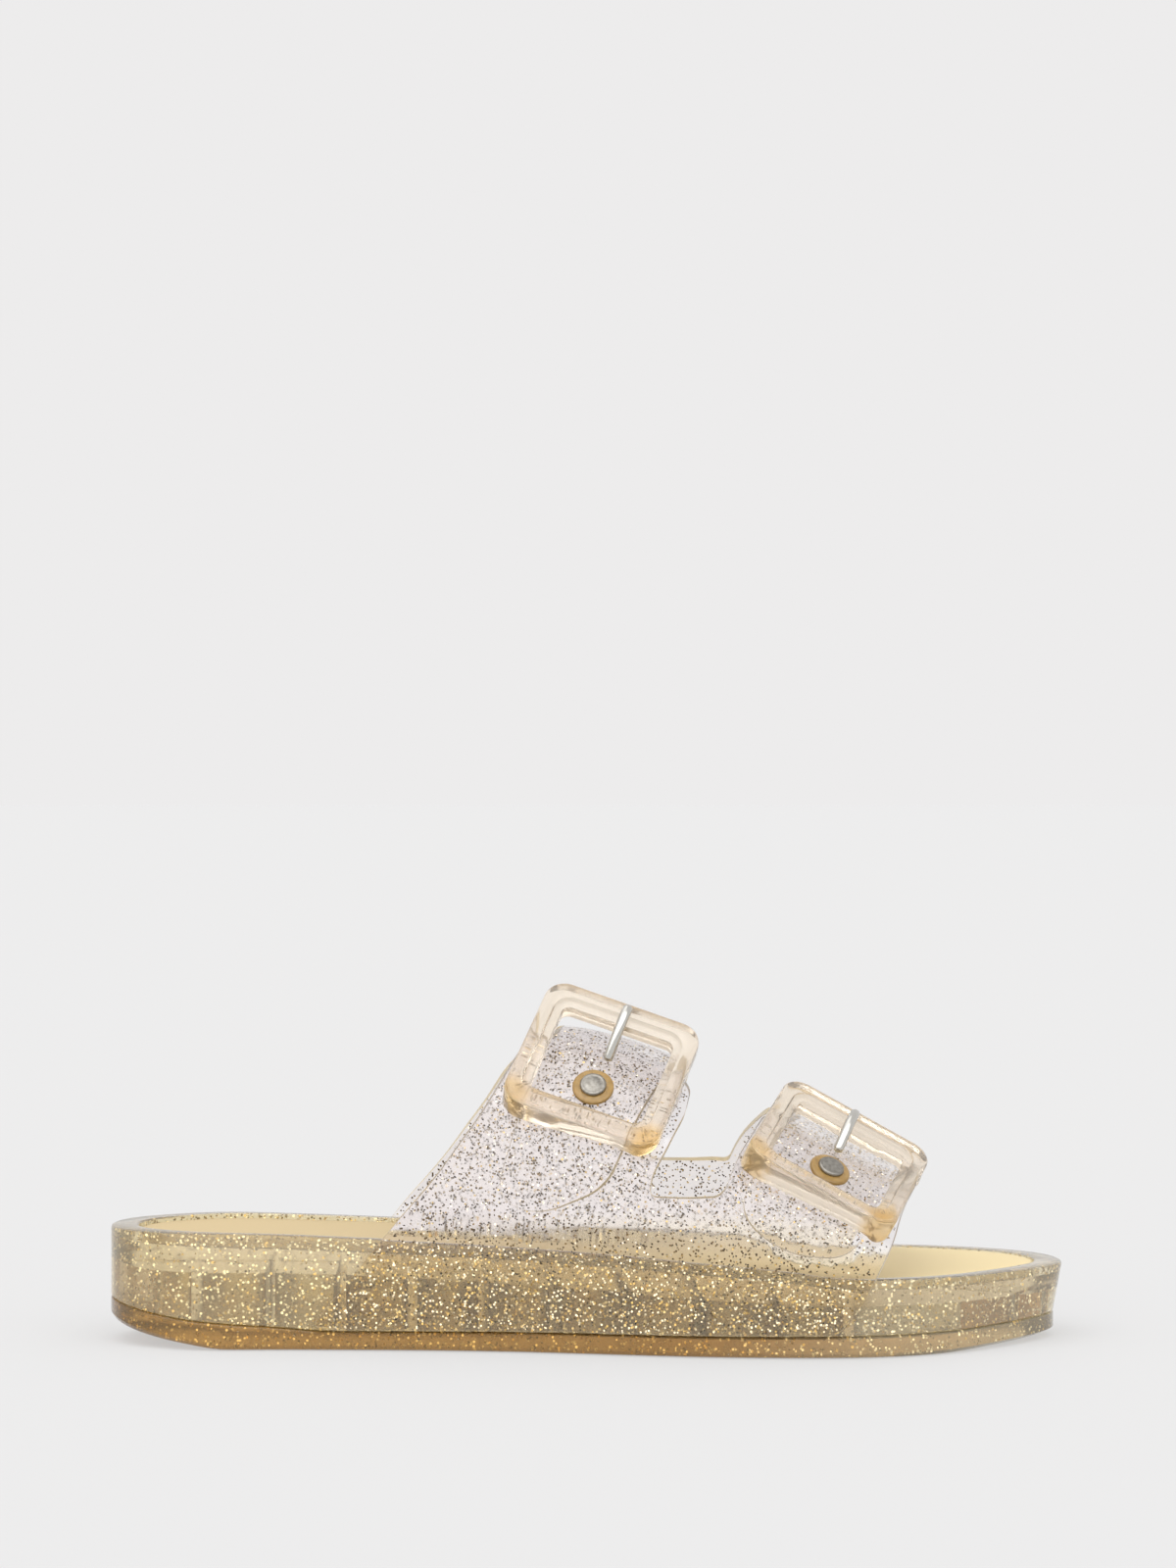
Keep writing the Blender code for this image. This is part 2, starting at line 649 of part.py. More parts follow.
def upper_loops():
    """Outer loop and the opening between the straps, on the unrolled upper."""
    outer = []
    lateral, medial = -1, 1
    rear, front = on_side(REAR_EDGE, lateral), on_side(FRONT_EDGE, lateral)
    outer += [spline(flange(lateral), False), spline(front[::-1], False)]
    outer += [[strap_edge("front", 1, -8.0), strap_edge("front", 1, 0.0)]]
    outer += [spline(on_side(FRONT_EDGE, medial), False), spline(flange(medial)[::-1], False)]
    outer += [spline(on_side(REAR_EDGE, medial), False)]
    outer += [[strap_edge("rear", -1, 0.0), strap_edge("rear", -1, -STRAPS["rear"][2])]]
    outer += [on_side(REAR_TAB_TOP, lateral)[::-1], spline(rear[::-1], False)]
    outer = softened(np.vstack(outer), edge_ease, True)
    gap = [spline(on_side(REAR_STRAP_FRONT, lateral), False), np.array(on_side(NOTCH_BOTTOM, lateral))]
    gap += [spline(on_side(FRONT_STRAP_REAR, lateral), False)]
    gap += [[strap_edge("front", -1, -STRAPS["front"][2]), strap_edge("front", -1, 0.0)]]
    gap += [spline(on_side(FRONT_STRAP_REAR, medial, 0.0, NOTCH_SHIFT_MEDIAL)[::-1], False)]
    gap += [np.array(on_side(NOTCH_BOTTOM, medial, NOTCH_RISE_MEDIAL, NOTCH_SHIFT_MEDIAL))[::-1]]
    gap += [spline(on_side(REAR_STRAP_FRONT, medial)[::-1], False)]
    gap += [[strap_edge("rear", 1, 0.0), strap_edge("rear", 1, -STRAPS["rear"][2])]]
    gap = softened(np.vstack(gap), edge_ease, True)
    return outer, gap


def nearest(line, point):
    """Point of a polyline that lies closest to another."""
    return tuple(line[int(np.argmin(np.linalg.norm(line - np.array(point), axis=1)))])


def tongue(name, start, end):
    """Edge of the strap end over the quarter: down one side, round the tip, up the other."""
    _, lean, _, tip = STRAPS[name]
    down = np.array([-lean, -1.0]) / math.hypot(lean, 1.0)
    corner_back = np.array(strap_edge(name, -1, -tip))
    corner_front = np.array(strap_edge(name, 1, -tip))
    middle = 0.5 * (corner_back + corner_front) + down * 2.0
    path = [start, corner_back + 0.04 * (corner_front - corner_back) - down * 4.0, middle,
            corner_front - 0.04 * (corner_front - corner_back) - down * 4.0, end]
    return softened(np.array(path), 7.0, False)


def upper(finish):
    """One hollow moulding: flanges, quarters, tabs and straps, the strap ends raised by one wall."""
    outer, gap = upper_loops()
    ends = {}
    for name, back, front in (("rear", outer, gap), ("front", gap, outer)):
        top = -STRAPS[name][2]
        ends[name] = (nearest(back, strap_edge(name, -1, top)), nearest(front, strap_edge(name, 1, top)))
    keep = [p for pair in ends.values() for p in pair]
    outer_loop, gap_loop = thinned(outer, True, keep), thinned(gap, True, keep)
    chains = []
    for name, (start, end) in ends.items():
        chain = thinned(tongue(name, start, end), False)
        chain[0], chain[-1] = start, end
        chains.append(chain)
    points, groups = triangulate([outer_loop], [gap_loop], chains)
    on_chain = {tuple(np.round(p, 4)) for chain in chains for p in chain}

    def height(p, high):
        """Wall, with one more wall on a strap end that fades out from the tab's top to the crest."""
        t = min(max(-p[1] / STRAPS["rear"][2], 0.0), 1.0)
        return wall_at(*p) + (WALL * t * t * (3 - 2 * t) if high else 0.0)

    def out_point(p, high):
        return LAST.point(*p) + LAST.normal(*p) * height(p, high)

    body = Build()
    edge_high = {}
    low_group = min(groups, key=lambda g: min(points[i][1] for f in g for i in f))
    for f, high in ((f, g is not low_group) for g in groups for f in g):
        corners = [points[i] for i in f]
        body.face(*[out_point(p, high) for p in corners])
        body.face(*[LAST.point(*p) for p in corners][::-1])
        for a, b in zip(corners, corners[1:] + corners[:1]):
            edge_high[(a, b)] = bool(high)
    for chain in chains:
        for a, b in zip(chain, chain[1:]):
            a, b = nearest(points, a), nearest(points, b)
            forward = edge_high.get((a, b), None)
            low_a, low_b, high_a, high_b = out_point(a, 0), out_point(b, 0), out_point(a, 1), out_point(b, 1)
            quad = (low_a, low_b, high_b, high_a)
            body.face(*(quad if forward else quad[::-1]))
    for loop in (outer_loop, gap_loop):
        n = len(loop)
        for i in range(n):
            a, b = nearest(points, loop[i]), nearest(points, loop[(i + 1) % n])
            forward = (a, b) in edge_high
            high = edge_high[(a, b)] if forward else edge_high[(b, a)]
            side = [LAST.point(*a), LAST.point(*b)]
            if high and tuple(np.round(b, 4)) in on_chain:
                side.append(out_point(b, 0))
            side.append(out_point(b, high))
            side.append(out_point(a, high))
            if high and tuple(np.round(a, 4)) in on_chain:
                side.append(out_point(a, 0))
            body.face(*(side if forward else side[::-1]))
    return solid("upper", body.points, body.faces, finish)


# Buckles

def rounded(width, length, radius, arc=4, straight=3):
    """Rounded rectangle, counter-clockwise, with points along its straights."""
    out = []
    corners = ((1, 1, 0), (-1, 1, 90), (-1, -1, 180), (1, -1, 270))
    for sx, sy, turn in corners:
        cx, cy = sx * (0.5 * width - radius), sy * (0.5 * length - radius)
        for k in range(arc + 1):
            a = math.radians(turn + 90 * k / arc)
            out.append((cx + radius * math.cos(a), cy + radius * math.sin(a)))
    full = []
    for i, p in enumerate(out):
        full.append(p)
        if i % (arc + 1) == arc:
            q = out[(i + 1) % len(out)]
            full += [tuple(np.array(p) + (np.array(q) - np.array(p)) * t / (straight + 1))
                     for t in range(1, straight + 1)]
    return full


def buckle_axes(name):
    """Centre of a buckle and its unit directions: across the strap, down it and outwards."""
    place, across, down = (np.array(v) for v in BUCKLES[name][:3])
    centre = place * (LENGTH, BALL_WIDTH, INSTEP)
    across = across / np.linalg.norm(across)
    down = down - across * (down @ across)
    down /= np.linalg.norm(down)
    out = np.cross(across, down)
    return centre, across, down, out if out[2] > 0 else -out


def back_reach(point, across, down, out, most, upper_tree):
    """How far the back of the frame can grow towards the upper, from the nearest of some rays."""
    reach = most
    around = ((2.6, 0), (1.8, 1.8), (0, 2.6), (-1.8, 1.8), (-2.6, 0), (-1.8, -1.8), (0, -2.6), (1.8, -1.8))
    for u, v in ((0, 0), *around):
        start = point + across * u + down * v + out * 4.0
        hit = upper_tree.ray_cast(Vector(start * MM), Vector(-out))
        if hit[0] is not None:
            reach = min(reach, hit[3] / MM - 4.0 - 2.2 * GAP)
    return max(reach, -2.0)


def buckle(name, finish, upper_tree):
    """Clear square frame; its face has a ledge round the window, and its back follows the upper."""
    centre, across, down, out = buckle_axes(name)
    half = 0.5 * BUCKLE_THICK
    profile = (
        # inset from the outer edge or from the window, height above the middle plane
        ("outer", 0.9, -half), ("outer", 0.0, -half + 0.9), ("outer", 0.0, half - 1.2), ("outer", 1.2, half),
        ("window", LEDGE + 0.5, half), ("window", LEDGE, half - LEDGE_DROP), ("window", 0.4, half - LEDGE_DROP),
        ("window", 0.0, half - LEDGE_DROP - 0.5), ("window", 0.0, -half + 0.5), ("window", 0.5, -half),
    )
    loops = []
    for which, off, z in profile:
        if which == "outer":
            loop = rounded(BUCKLE_WIDTH - 2 * off, BUCKLE_LENGTH - 2 * off, max(BUCKLE_CORNER - off, 0.5))
        else:
            loop = rounded(WINDOW_WIDTH + 2 * off, WINDOW_LENGTH + 2 * off, 2.4 + off)
        ring_points = []
        for u, v in loop:
            p = centre + across * u - down * v + out * z
            if z < -half + 1.0:
                p = p - out * back_reach(p, across, down, out, 3.2 if v < 0 else 1.0, upper_tree)
            ring_points.append(tuple(p))
        loops.append(ring_points)
    body = Build()
    for a, b in zip(loops, loops[1:] + loops[:1]):
        for i in range(len(a)):
            j = (i + 1) % len(a)
            body.face(a[i], a[j], b[j], b[i])
    return solid("buckle_" + name, body.points, body.faces, finish, 30.0)


def tube(path, radius, sides=10):
    """Round wire with domed ends along a path."""
    body = Build()
    path = [np.array(p, float) for p in path]
    rings = []
    normal = None
    for i, p in enumerate(path):
        t = path[min(i + 1, len(path) - 1)] - path[max(i - 1, 0)]
        t /= np.linalg.norm(t)
        if normal is None:
            normal = np.cross(t, (0, 0, 1.0))
        normal = normal - t * (normal @ t)
        normal /= np.linalg.norm(normal)
        other = np.cross(t, normal)
        ends = [(0.0, 1.0)]
        if i == 0:
            ends = [(-0.8, 0.45), (-0.35, 0.85), (0.0, 1.0)]
        elif i == len(path) - 1:
            ends = [(0.0, 1.0), (0.35, 0.85), (0.8, 0.45)]
        for shift, size in ends:
            rings.append([tuple(p + t * shift * radius + radius * size * (
                normal * math.cos(2 * math.pi * k / sides) + other * math.sin(2 * math.pi * k / sides)))
                for k in range(sides)])
    for a, b in zip(rings, rings[1:]):
        for i in range(sides):
            j = (i + 1) % sides
            body.face(a[i], a[j], b[j], b[i])
    body.face(*rings[0][::-1])
    body.face(*rings[-1])
    return body


def prong(name, finish, upper_tree):
    """Wire prong: lies over the top bar of the buckle and dips to the strap inside the window."""
    centre, across, down, out = buckle_axes(name)
    shift = across * BUCKLES[name][3] * 0.5 * WINDOW_WIDTH
    lift = 0.5 * BUCKLE_THICK + 0.5 * PRONG + GAP
    top = -BUCKLES[name][4]
    rows = ((top, lift), (top + 1.6, lift + 0.2), (top + 4.2, lift - 0.3))
    path = [centre + shift + down * v + out * z for v, z in rows]
    foot = centre + shift * 0.55 + down * -5.0
    hit = upper_tree.ray_cast(Vector((foot + out * 8.0) * MM), Vector(-out))
    surface = 8.0 - hit[3] / MM
    end = foot + out * (surface + 0.5 * PRONG + 1.5 * GAP)
    middle = 0.5 * (path[-1] + end) + out * 0.6
    path += [middle, end]
    line = [path[0]]
    for a, b in zip(path, path[1:]):
        line += [a + (b - a) * 0.5, b]
    smooth = [line[0]] + [(line[i - 1] + 2 * line[i] + line[i + 1]) / 4 for i in range(1, len(line) - 1)] + [line[-1]]
    body = tube(smooth, 0.5 * PRONG)
    return solid("prong_" + name, body.points, body.faces, finish, 40.0)


def rivet(name, finish, upper_tree):
    """Turned rivet: a low boss with a domed cap, square to the strap in the buckle's window."""
    centre, across, down, out = buckle_axes(name)
    hit = upper_tree.ray_cast(Vector((centre + down * RIVET_DOWN + out * 9.0) * MM), Vector(-out))
    foot = np.array(hit[0]) / MM
    axis = np.array(hit[1])
    axis = axis if axis @ out > 0 else -axis
    foot = foot + axis * GAP * 1.4
    side = np.cross(axis, across)
    side /= np.linalg.norm(side)
    other = np.cross(side, axis)
    profile = (
        # radius, height
        (0.5 * BOSS, 0.0), (0.5 * BOSS, 0.7), (0.5 * BOSS - 0.6, 1.2), (0.5 * CAP, 1.25),
        (0.5 * CAP, 1.7), (0.5 * CAP - 0.5, 2.2), (0.25 * CAP, 2.6),
    )
    body, sides = Build(), 20
    rings = [[tuple(foot + axis * h + r * (side * math.cos(2 * math.pi * k / sides)
                                           + other * math.sin(2 * math.pi * k / sides)))
              for k in range(sides)] for r, h in profile]
    for a, b in zip(rings, rings[1:]):
        for i in range(sides):
            j = (i + 1) % sides
            body.face(a[i], a[j], b[j], b[i])
    body.face(*rings[0][::-1])
    body.face(*rings[-1])
    return solid("rivet_" + name, body.points, body.faces, finish, 40.0)


def face_outwards(made):
    """Turn the faces of a closed mesh so that its volume is positive."""
    mesh = made.data
    mesh.calc_loop_triangles()
    points = np.array([v.co for v in mesh.vertices])
    tris = np.array([t.vertices for t in mesh.loop_triangles])
    a, b, c = points[tris[:, 0]], points[tris[:, 1]], points[tris[:, 2]]
    if np.einsum("ij,ij->i", a, np.cross(b, c)).sum() < 0:
        mesh.flip_normals()
    return made


def main():
    """Make every piece and put them all under one empty."""
    for old in list(bpy.data.objects):
        bpy.data.objects.remove(old, do_unlink=True)
    glitter_pvc = material("clear_glitter_pvc", (0.72, 0.55, 0.26), 0.12, transmission=0.6)
    sole_pvc = material("amber_glitter_pvc", (0.45, 0.31, 0.13), 0.15, transmission=0.4)
    tread_pvc = material("outsole_pvc", (0.34, 0.22, 0.07), 0.2, transmission=0.3)
    footbed = material("matt_cream_pvc", (0.76, 0.63, 0.36), 0.6)
    amber = material("clear_amber_plastic", (0.85, 0.62, 0.34), 0.08, transmission=0.8)
    steel = material("plated_steel", (0.62, 0.61, 0.58), 0.2, 1.0)
    shoe = bpy.data.objects.new("sandal", None)
    bpy.context.scene.collection.objects.link(shoe)
    pieces = [outsole(tread_pvc), midsole(sole_pvc), insole(footbed)]
    cover = face_outwards(upper(glitter_pvc))
    pieces.append(cover)
    cover.data.calc_loop_triangles()
    tree = BVHTree.FromPolygons([v.co[:] for v in cover.data.vertices],
                                [t.vertices[:] for t in cover.data.loop_triangles])
    for name in BUCKLES:
        pieces.append(buckle(name, amber, tree))
        pieces.append(prong(name, steel, tree))
        pieces.append(rivet(name, steel, tree))
    for piece in pieces:
        face_outwards(piece)
        piece.parent = shoe


main()
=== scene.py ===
"""Looks of a clear jelly sandal for the right foot: fine meshes, clear glitter PVC, light and camera.

The frame is the row's own: metres, +Z up, +X towards the toe, +Y towards the inner side of the foot.
Sizes in the tables are millimetres or shares of the named sizes, as in the part's construction.
"""

import json
import logging
import math
from dataclasses import dataclass, field, replace
from enum import Enum
from functools import lru_cache
from typing import Any, Callable, Optional, Sequence

import bpy
import numpy as np
from mathutils import Vector
from mathutils.bvhtree import BVHTree
from mathutils.geometry import delaunay_2d_cdt
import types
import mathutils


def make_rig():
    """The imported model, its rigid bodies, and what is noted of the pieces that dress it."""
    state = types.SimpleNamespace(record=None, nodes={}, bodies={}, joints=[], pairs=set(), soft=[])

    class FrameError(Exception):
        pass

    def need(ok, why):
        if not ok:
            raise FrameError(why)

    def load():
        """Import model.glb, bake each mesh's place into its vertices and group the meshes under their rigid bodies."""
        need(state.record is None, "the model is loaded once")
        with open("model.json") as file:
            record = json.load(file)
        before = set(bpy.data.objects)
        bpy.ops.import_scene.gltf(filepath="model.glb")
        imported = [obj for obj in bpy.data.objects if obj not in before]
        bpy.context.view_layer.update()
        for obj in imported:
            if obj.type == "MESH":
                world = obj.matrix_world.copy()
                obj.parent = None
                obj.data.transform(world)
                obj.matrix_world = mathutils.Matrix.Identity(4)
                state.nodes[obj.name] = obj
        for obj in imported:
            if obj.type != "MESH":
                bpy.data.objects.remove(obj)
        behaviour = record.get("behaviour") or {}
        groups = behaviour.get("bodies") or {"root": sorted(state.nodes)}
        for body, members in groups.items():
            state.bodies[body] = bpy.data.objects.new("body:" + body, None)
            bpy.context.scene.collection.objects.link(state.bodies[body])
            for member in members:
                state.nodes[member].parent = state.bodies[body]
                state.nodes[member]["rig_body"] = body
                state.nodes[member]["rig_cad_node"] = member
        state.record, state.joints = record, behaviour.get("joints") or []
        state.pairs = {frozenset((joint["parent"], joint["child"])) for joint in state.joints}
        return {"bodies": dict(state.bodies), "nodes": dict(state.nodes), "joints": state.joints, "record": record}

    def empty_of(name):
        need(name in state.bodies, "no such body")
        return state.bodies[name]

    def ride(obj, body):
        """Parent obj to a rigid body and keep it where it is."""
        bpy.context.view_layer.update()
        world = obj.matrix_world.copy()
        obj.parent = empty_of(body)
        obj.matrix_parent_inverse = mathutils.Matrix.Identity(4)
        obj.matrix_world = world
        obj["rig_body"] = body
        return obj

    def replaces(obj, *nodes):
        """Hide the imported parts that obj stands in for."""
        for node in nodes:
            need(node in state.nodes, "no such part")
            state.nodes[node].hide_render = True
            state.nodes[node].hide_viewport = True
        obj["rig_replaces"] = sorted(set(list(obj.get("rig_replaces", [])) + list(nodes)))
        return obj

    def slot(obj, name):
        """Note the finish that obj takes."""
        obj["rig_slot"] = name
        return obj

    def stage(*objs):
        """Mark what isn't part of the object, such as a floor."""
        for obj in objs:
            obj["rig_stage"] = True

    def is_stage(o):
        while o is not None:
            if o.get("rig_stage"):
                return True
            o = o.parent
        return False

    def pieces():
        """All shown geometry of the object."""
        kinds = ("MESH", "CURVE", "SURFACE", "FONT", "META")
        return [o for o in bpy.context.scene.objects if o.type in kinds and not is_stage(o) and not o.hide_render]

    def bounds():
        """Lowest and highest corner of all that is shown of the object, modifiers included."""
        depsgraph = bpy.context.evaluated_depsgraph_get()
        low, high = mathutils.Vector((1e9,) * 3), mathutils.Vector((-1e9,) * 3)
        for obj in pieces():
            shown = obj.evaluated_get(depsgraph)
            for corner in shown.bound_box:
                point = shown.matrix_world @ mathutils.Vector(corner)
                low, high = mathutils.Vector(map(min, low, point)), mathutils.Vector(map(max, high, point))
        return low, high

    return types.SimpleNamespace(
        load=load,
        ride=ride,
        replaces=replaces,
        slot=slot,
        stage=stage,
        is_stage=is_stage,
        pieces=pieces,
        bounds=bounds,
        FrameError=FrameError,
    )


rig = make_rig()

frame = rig.load()
CAD_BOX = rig.bounds()

LOG = logging.getLogger("sandal")
MM = 0.001
Point2 = tuple[float, float]
Point3 = tuple[float, float, float]
Groups = list[list[tuple[int, ...]]]
Height = Callable[[float], float]
Amount = float | Callable[[Any], float]

# Driving sizes of the whole sandal in mm, and the clearance between its pieces
LENGTH = 258.0
BALL_WIDTH = 94.0
HEEL_HEIGHT = 30.8
INSTEP = 84.0
GAP = 0.3

# Step between the points of a dense curve in mm
CURVE_STEP = 0.5

OUTLINE = (
    # along, lateral, medial
    (0.012, 0.149, 0.138), (0.039, 0.239, 0.229), (0.097, 0.319, 0.324), (0.198, 0.326, 0.340),
    (0.322, 0.340, 0.351), (0.423, 0.372, 0.362), (0.527, 0.436, 0.404), (0.620, 0.489, 0.468),
    (0.721, 0.511, 0.500), (0.798, 0.489, 0.497), (0.872, 0.400, 0.464), (0.930, 0.256, 0.396),
    (0.972, 0.122, 0.296), (0.993, 0.024, 0.192),
)
HEIGHTS = (
    # along, rim, step down to insole, parting, cavity ceiling, bottom
    (0.000, 1.000, 0.040, 0.383, 0.646, 0.208), (0.037, 1.000, 0.040, 0.318, 0.646, 0.120),
    (0.089, 1.000, 0.040, 0.255, 0.646, 0.042), (0.130, 0.997, 0.040, 0.226, 0.646, 0.000),
    (0.174, 0.988, 0.040, 0.203, 0.646, 0.000), (0.244, 0.966, 0.038, 0.165, 0.633, 0.000),
    (0.322, 0.938, 0.034, 0.166, 0.610, 0.000), (0.422, 0.899, 0.028, 0.173, 0.571, 0.000),
    (0.527, 0.853, 0.022, 0.178, 0.529, 0.000), (0.620, 0.795, 0.016, 0.179, 0.474, 0.000),
    (0.702, 0.735, 0.012, 0.182, 0.441, 0.000), (0.752, 0.679, 0.010, 0.185, 0.419, 0.000),
    (0.798, 0.662, 0.010, 0.187, 0.416, 0.000), (0.849, 0.658, 0.010, 0.191, 0.416, 0.000),
    (0.946, 0.655, 0.010, 0.205, 0.416, 0.020), (1.000, 0.655, 0.010, 0.221, 0.416, 0.046),
)
RIM_WIDTHS = (
    # along, mm
    (0.00, 7.4), (0.06, 6.4), (0.15, 4.6), (0.60, 4.6), (0.85, 5.0), (0.95, 6.4), (1.00, 7.4),
)
CREST = (
    # along, crest
    (0.20, 1.010), (0.36, 1.010), (0.434, 1.003), (0.477, 1.000), (0.539, 0.960), (0.593, 0.893),
    (0.655, 0.803), (0.721, 0.702), (0.771, 0.623), (0.830, 0.536), (0.880, 0.465),
)
REAR_EDGE = (
    # along, up
    (0.217, 0.079), (0.253, 0.212), (0.291, 0.357), (0.307, 0.418), (0.330, 0.499), (0.350, 0.576),
    (0.370, 0.663), (0.390, 0.748), (0.411, 0.851),
)
REAR_TAB_TOP = ((0.433, 0.950), (0.445, 0.972))
REAR_STRAP_FRONT = (
    # along, up
    (0.604, 0.813), (0.598, 0.746), (0.590, 0.704), (0.580, 0.645), (0.572, 0.601), (0.565, 0.556),
)
NOTCH_BOTTOM = ((0.563, 0.500), (0.600, 0.497), (0.632, 0.500))
FRONT_STRAP_REAR = (
    # along, up
    (0.640, 0.530), (0.647, 0.586), (0.654, 0.629), (0.667, 0.686), (0.679, 0.730),
)
FRONT_EDGE = (
    # along, up
    (0.8265, 0.475), (0.8155, 0.421), (0.8075, 0.356), (0.797, 0.292), (0.7895, 0.244),
    (0.776, 0.170), (0.751, 0.072),
)


class StrapName(Enum):
    """The two straps, with the name that their pieces carry."""

    REAR = "rear"
    FRONT = "front"


STRAPS = {
    # along at crest, lean, girth of the tab's top, girth of the tip
    StrapName.REAR: (0.5446, 0.353, 13.0, 63.5),
    StrapName.FRONT: (0.790, 0.360, 13.0, 63.0),
}
BUCKLES = {
    # centre (shares of LENGTH, BALL_WIDTH, INSTEP), across, down the strap, prong's place and top
    StrapName.REAR: ((0.0140, -0.2979, 0.8899), (41.0, -6.0, -14.1), (-14.0, -26.0, -29.8), 0.04, 17.4),
    StrapName.FRONT: ((0.2550, -0.3404, 0.6107), (37.5, -4.4, -20.6), (-13.4, -36.1, -16.7), -0.10, 15.8),
}


# Curves

def table(rows: Sequence[Sequence[float]], column: int, scale: float) -> Height:
    """Smooth, never overshooting function of X for one column of a table.

    Args:
        rows: Table rows, the first column being the share of the length.
        column: Column to read.
        scale: Size in mm that the shares refer to.

    Returns:
        A function from X in mm to the value in mm.
    """
    xs = np.array([(row[0] - 0.5) * LENGTH for row in rows])
    ys = np.array([row[column] * scale for row in rows])
    steps = np.diff(xs)
    slopes = np.diff(ys) / steps
    tangents = np.zeros(len(xs))
    tangents[0], tangents[-1] = slopes[0], slopes[-1]
    for i in range(1, len(xs) - 1):
        if slopes[i - 1] * slopes[i] > 0:
            a, b = 2 * steps[i] + steps[i - 1], steps[i] + 2 * steps[i - 1]
            tangents[i] = (a + b) / (a / slopes[i - 1] + b / slopes[i])

    def value(x: float) -> float:
        """Value at X, held at both ends.

        Args:
            x: X in mm.

        Returns:
            The value in mm.
        """
        x = min(max(x, xs[0]), xs[-1])
        i = min(max(int(np.searchsorted(xs, x)) - 1, 0), len(xs) - 2)
        h = steps[i]
        t = (x - xs[i]) / h
        return float(
            ys[i] * (1 + 2 * t) * (1 - t) ** 2 + tangents[i] * h * t * (1 - t) ** 2
            + ys[i + 1] * t * t * (3 - 2 * t) + tangents[i + 1] * h * t * t * (t - 1)
        )

    return value


def ease(t: float) -> float:
    """Smooth step of a share held between 0 and 1."""
    t = min(max(t, 0.0), 1.0)
    return t * t * (3 - 2 * t)


def raised(height: Height, by: float) -> Height:
    """A height function of X, moved up by some mm."""
    return lambda x: height(x) + by


def spline(points: Sequence[Any], closed: bool) -> np.ndarray:
    """Centripetal smooth curve through 2-D points, as a dense polyline.

    Args:
        points: Points that the curve passes through.
        closed: Whether it returns to the first one.

    Returns:
        The dense polyline.
    """
    pts = [np.array(p, float) for p in points]
    n = len(pts)
    out: list[np.ndarray] = []
    for i in range(n if closed else n - 1):
        p1, p2 = pts[i], pts[(i + 1) % n]
        p0 = pts[i - 1] if closed or i else 2 * p1 - p2
        p3 = pts[(i + 2) % n] if closed or i < n - 2 else 2 * p2 - p1
        t1 = max(float(np.linalg.norm(p1 - p0)), 1e-6) ** 0.5
        t2 = t1 + max(float(np.linalg.norm(p2 - p1)), 1e-6) ** 0.5
        t3 = t2 + max(float(np.linalg.norm(p3 - p2)), 1e-6) ** 0.5
        count = max(int(np.linalg.norm(p2 - p1) / CURVE_STEP), 1)
        for k in range(count):
            t = t1 + (t2 - t1) * k / count
            a1 = (t1 - t) / t1 * p0 + t / t1 * p1
            a2 = (t2 - t) / (t2 - t1) * p1 + (t - t1) / (t2 - t1) * p2
            a3 = (t3 - t) / (t3 - t2) * p2 + (t - t2) / (t3 - t2) * p3
            b1 = (t2 - t) / t2 * a1 + t / t2 * a2
            b2 = (t3 - t) / (t3 - t1) * a2 + (t - t1) / (t3 - t1) * a3
            out.append((t2 - t) / (t2 - t1) * b1 + (t - t1) / (t2 - t1) * b2)
    if not closed:
        out.append(pts[-1])
    return np.array(out)


def evenly(line: np.ndarray, closed: bool, step: float) -> np.ndarray:
    """Resample a polyline at an even step.

    Args:
        line: The polyline.
        closed: Whether it returns to its first point.
        step: Step in mm.

    Returns:
        The resampled polyline.
    """
    pts = np.vstack([line, line[:1]]) if closed else line
    along = np.concatenate([[0], np.cumsum(np.linalg.norm(np.diff(pts, axis=0), axis=1))])
    count = max(int(round(along[-1] / step)), 4)
    at = np.linspace(0, along[-1], count + 1)
    at = at[:-1] if closed else at
    return np.stack([np.interp(at, along, pts[:, 0]), np.interp(at, along, pts[:, 1])], axis=1)


def softened(line: np.ndarray, radius: Amount, closed: bool, step: float = CURVE_STEP) -> np.ndarray:
    """Round the corners of a polyline by averaging along it.

    Args:
        line: The polyline.
        radius: Reach of the rounding in mm, a number or a function of a point.
        closed: Whether it returns to its first point.
        step: Step of the result in mm.

    Returns:
        The rounded polyline.
    """
    pts = evenly(line, closed, step)
    n = len(pts)
    out = pts.copy()
    for i in range(n):
        reach = int((radius(pts[i]) if callable(radius) else radius) / step)
        if closed:
            out[i] = pts[np.arange(i - reach, i + reach + 1) % n].mean(axis=0)
        elif 0 < i < n - 1:
            reach = min(reach, i, n - 1 - i)
            out[i] = pts[i - reach:i + reach + 1].mean(axis=0)
    return out


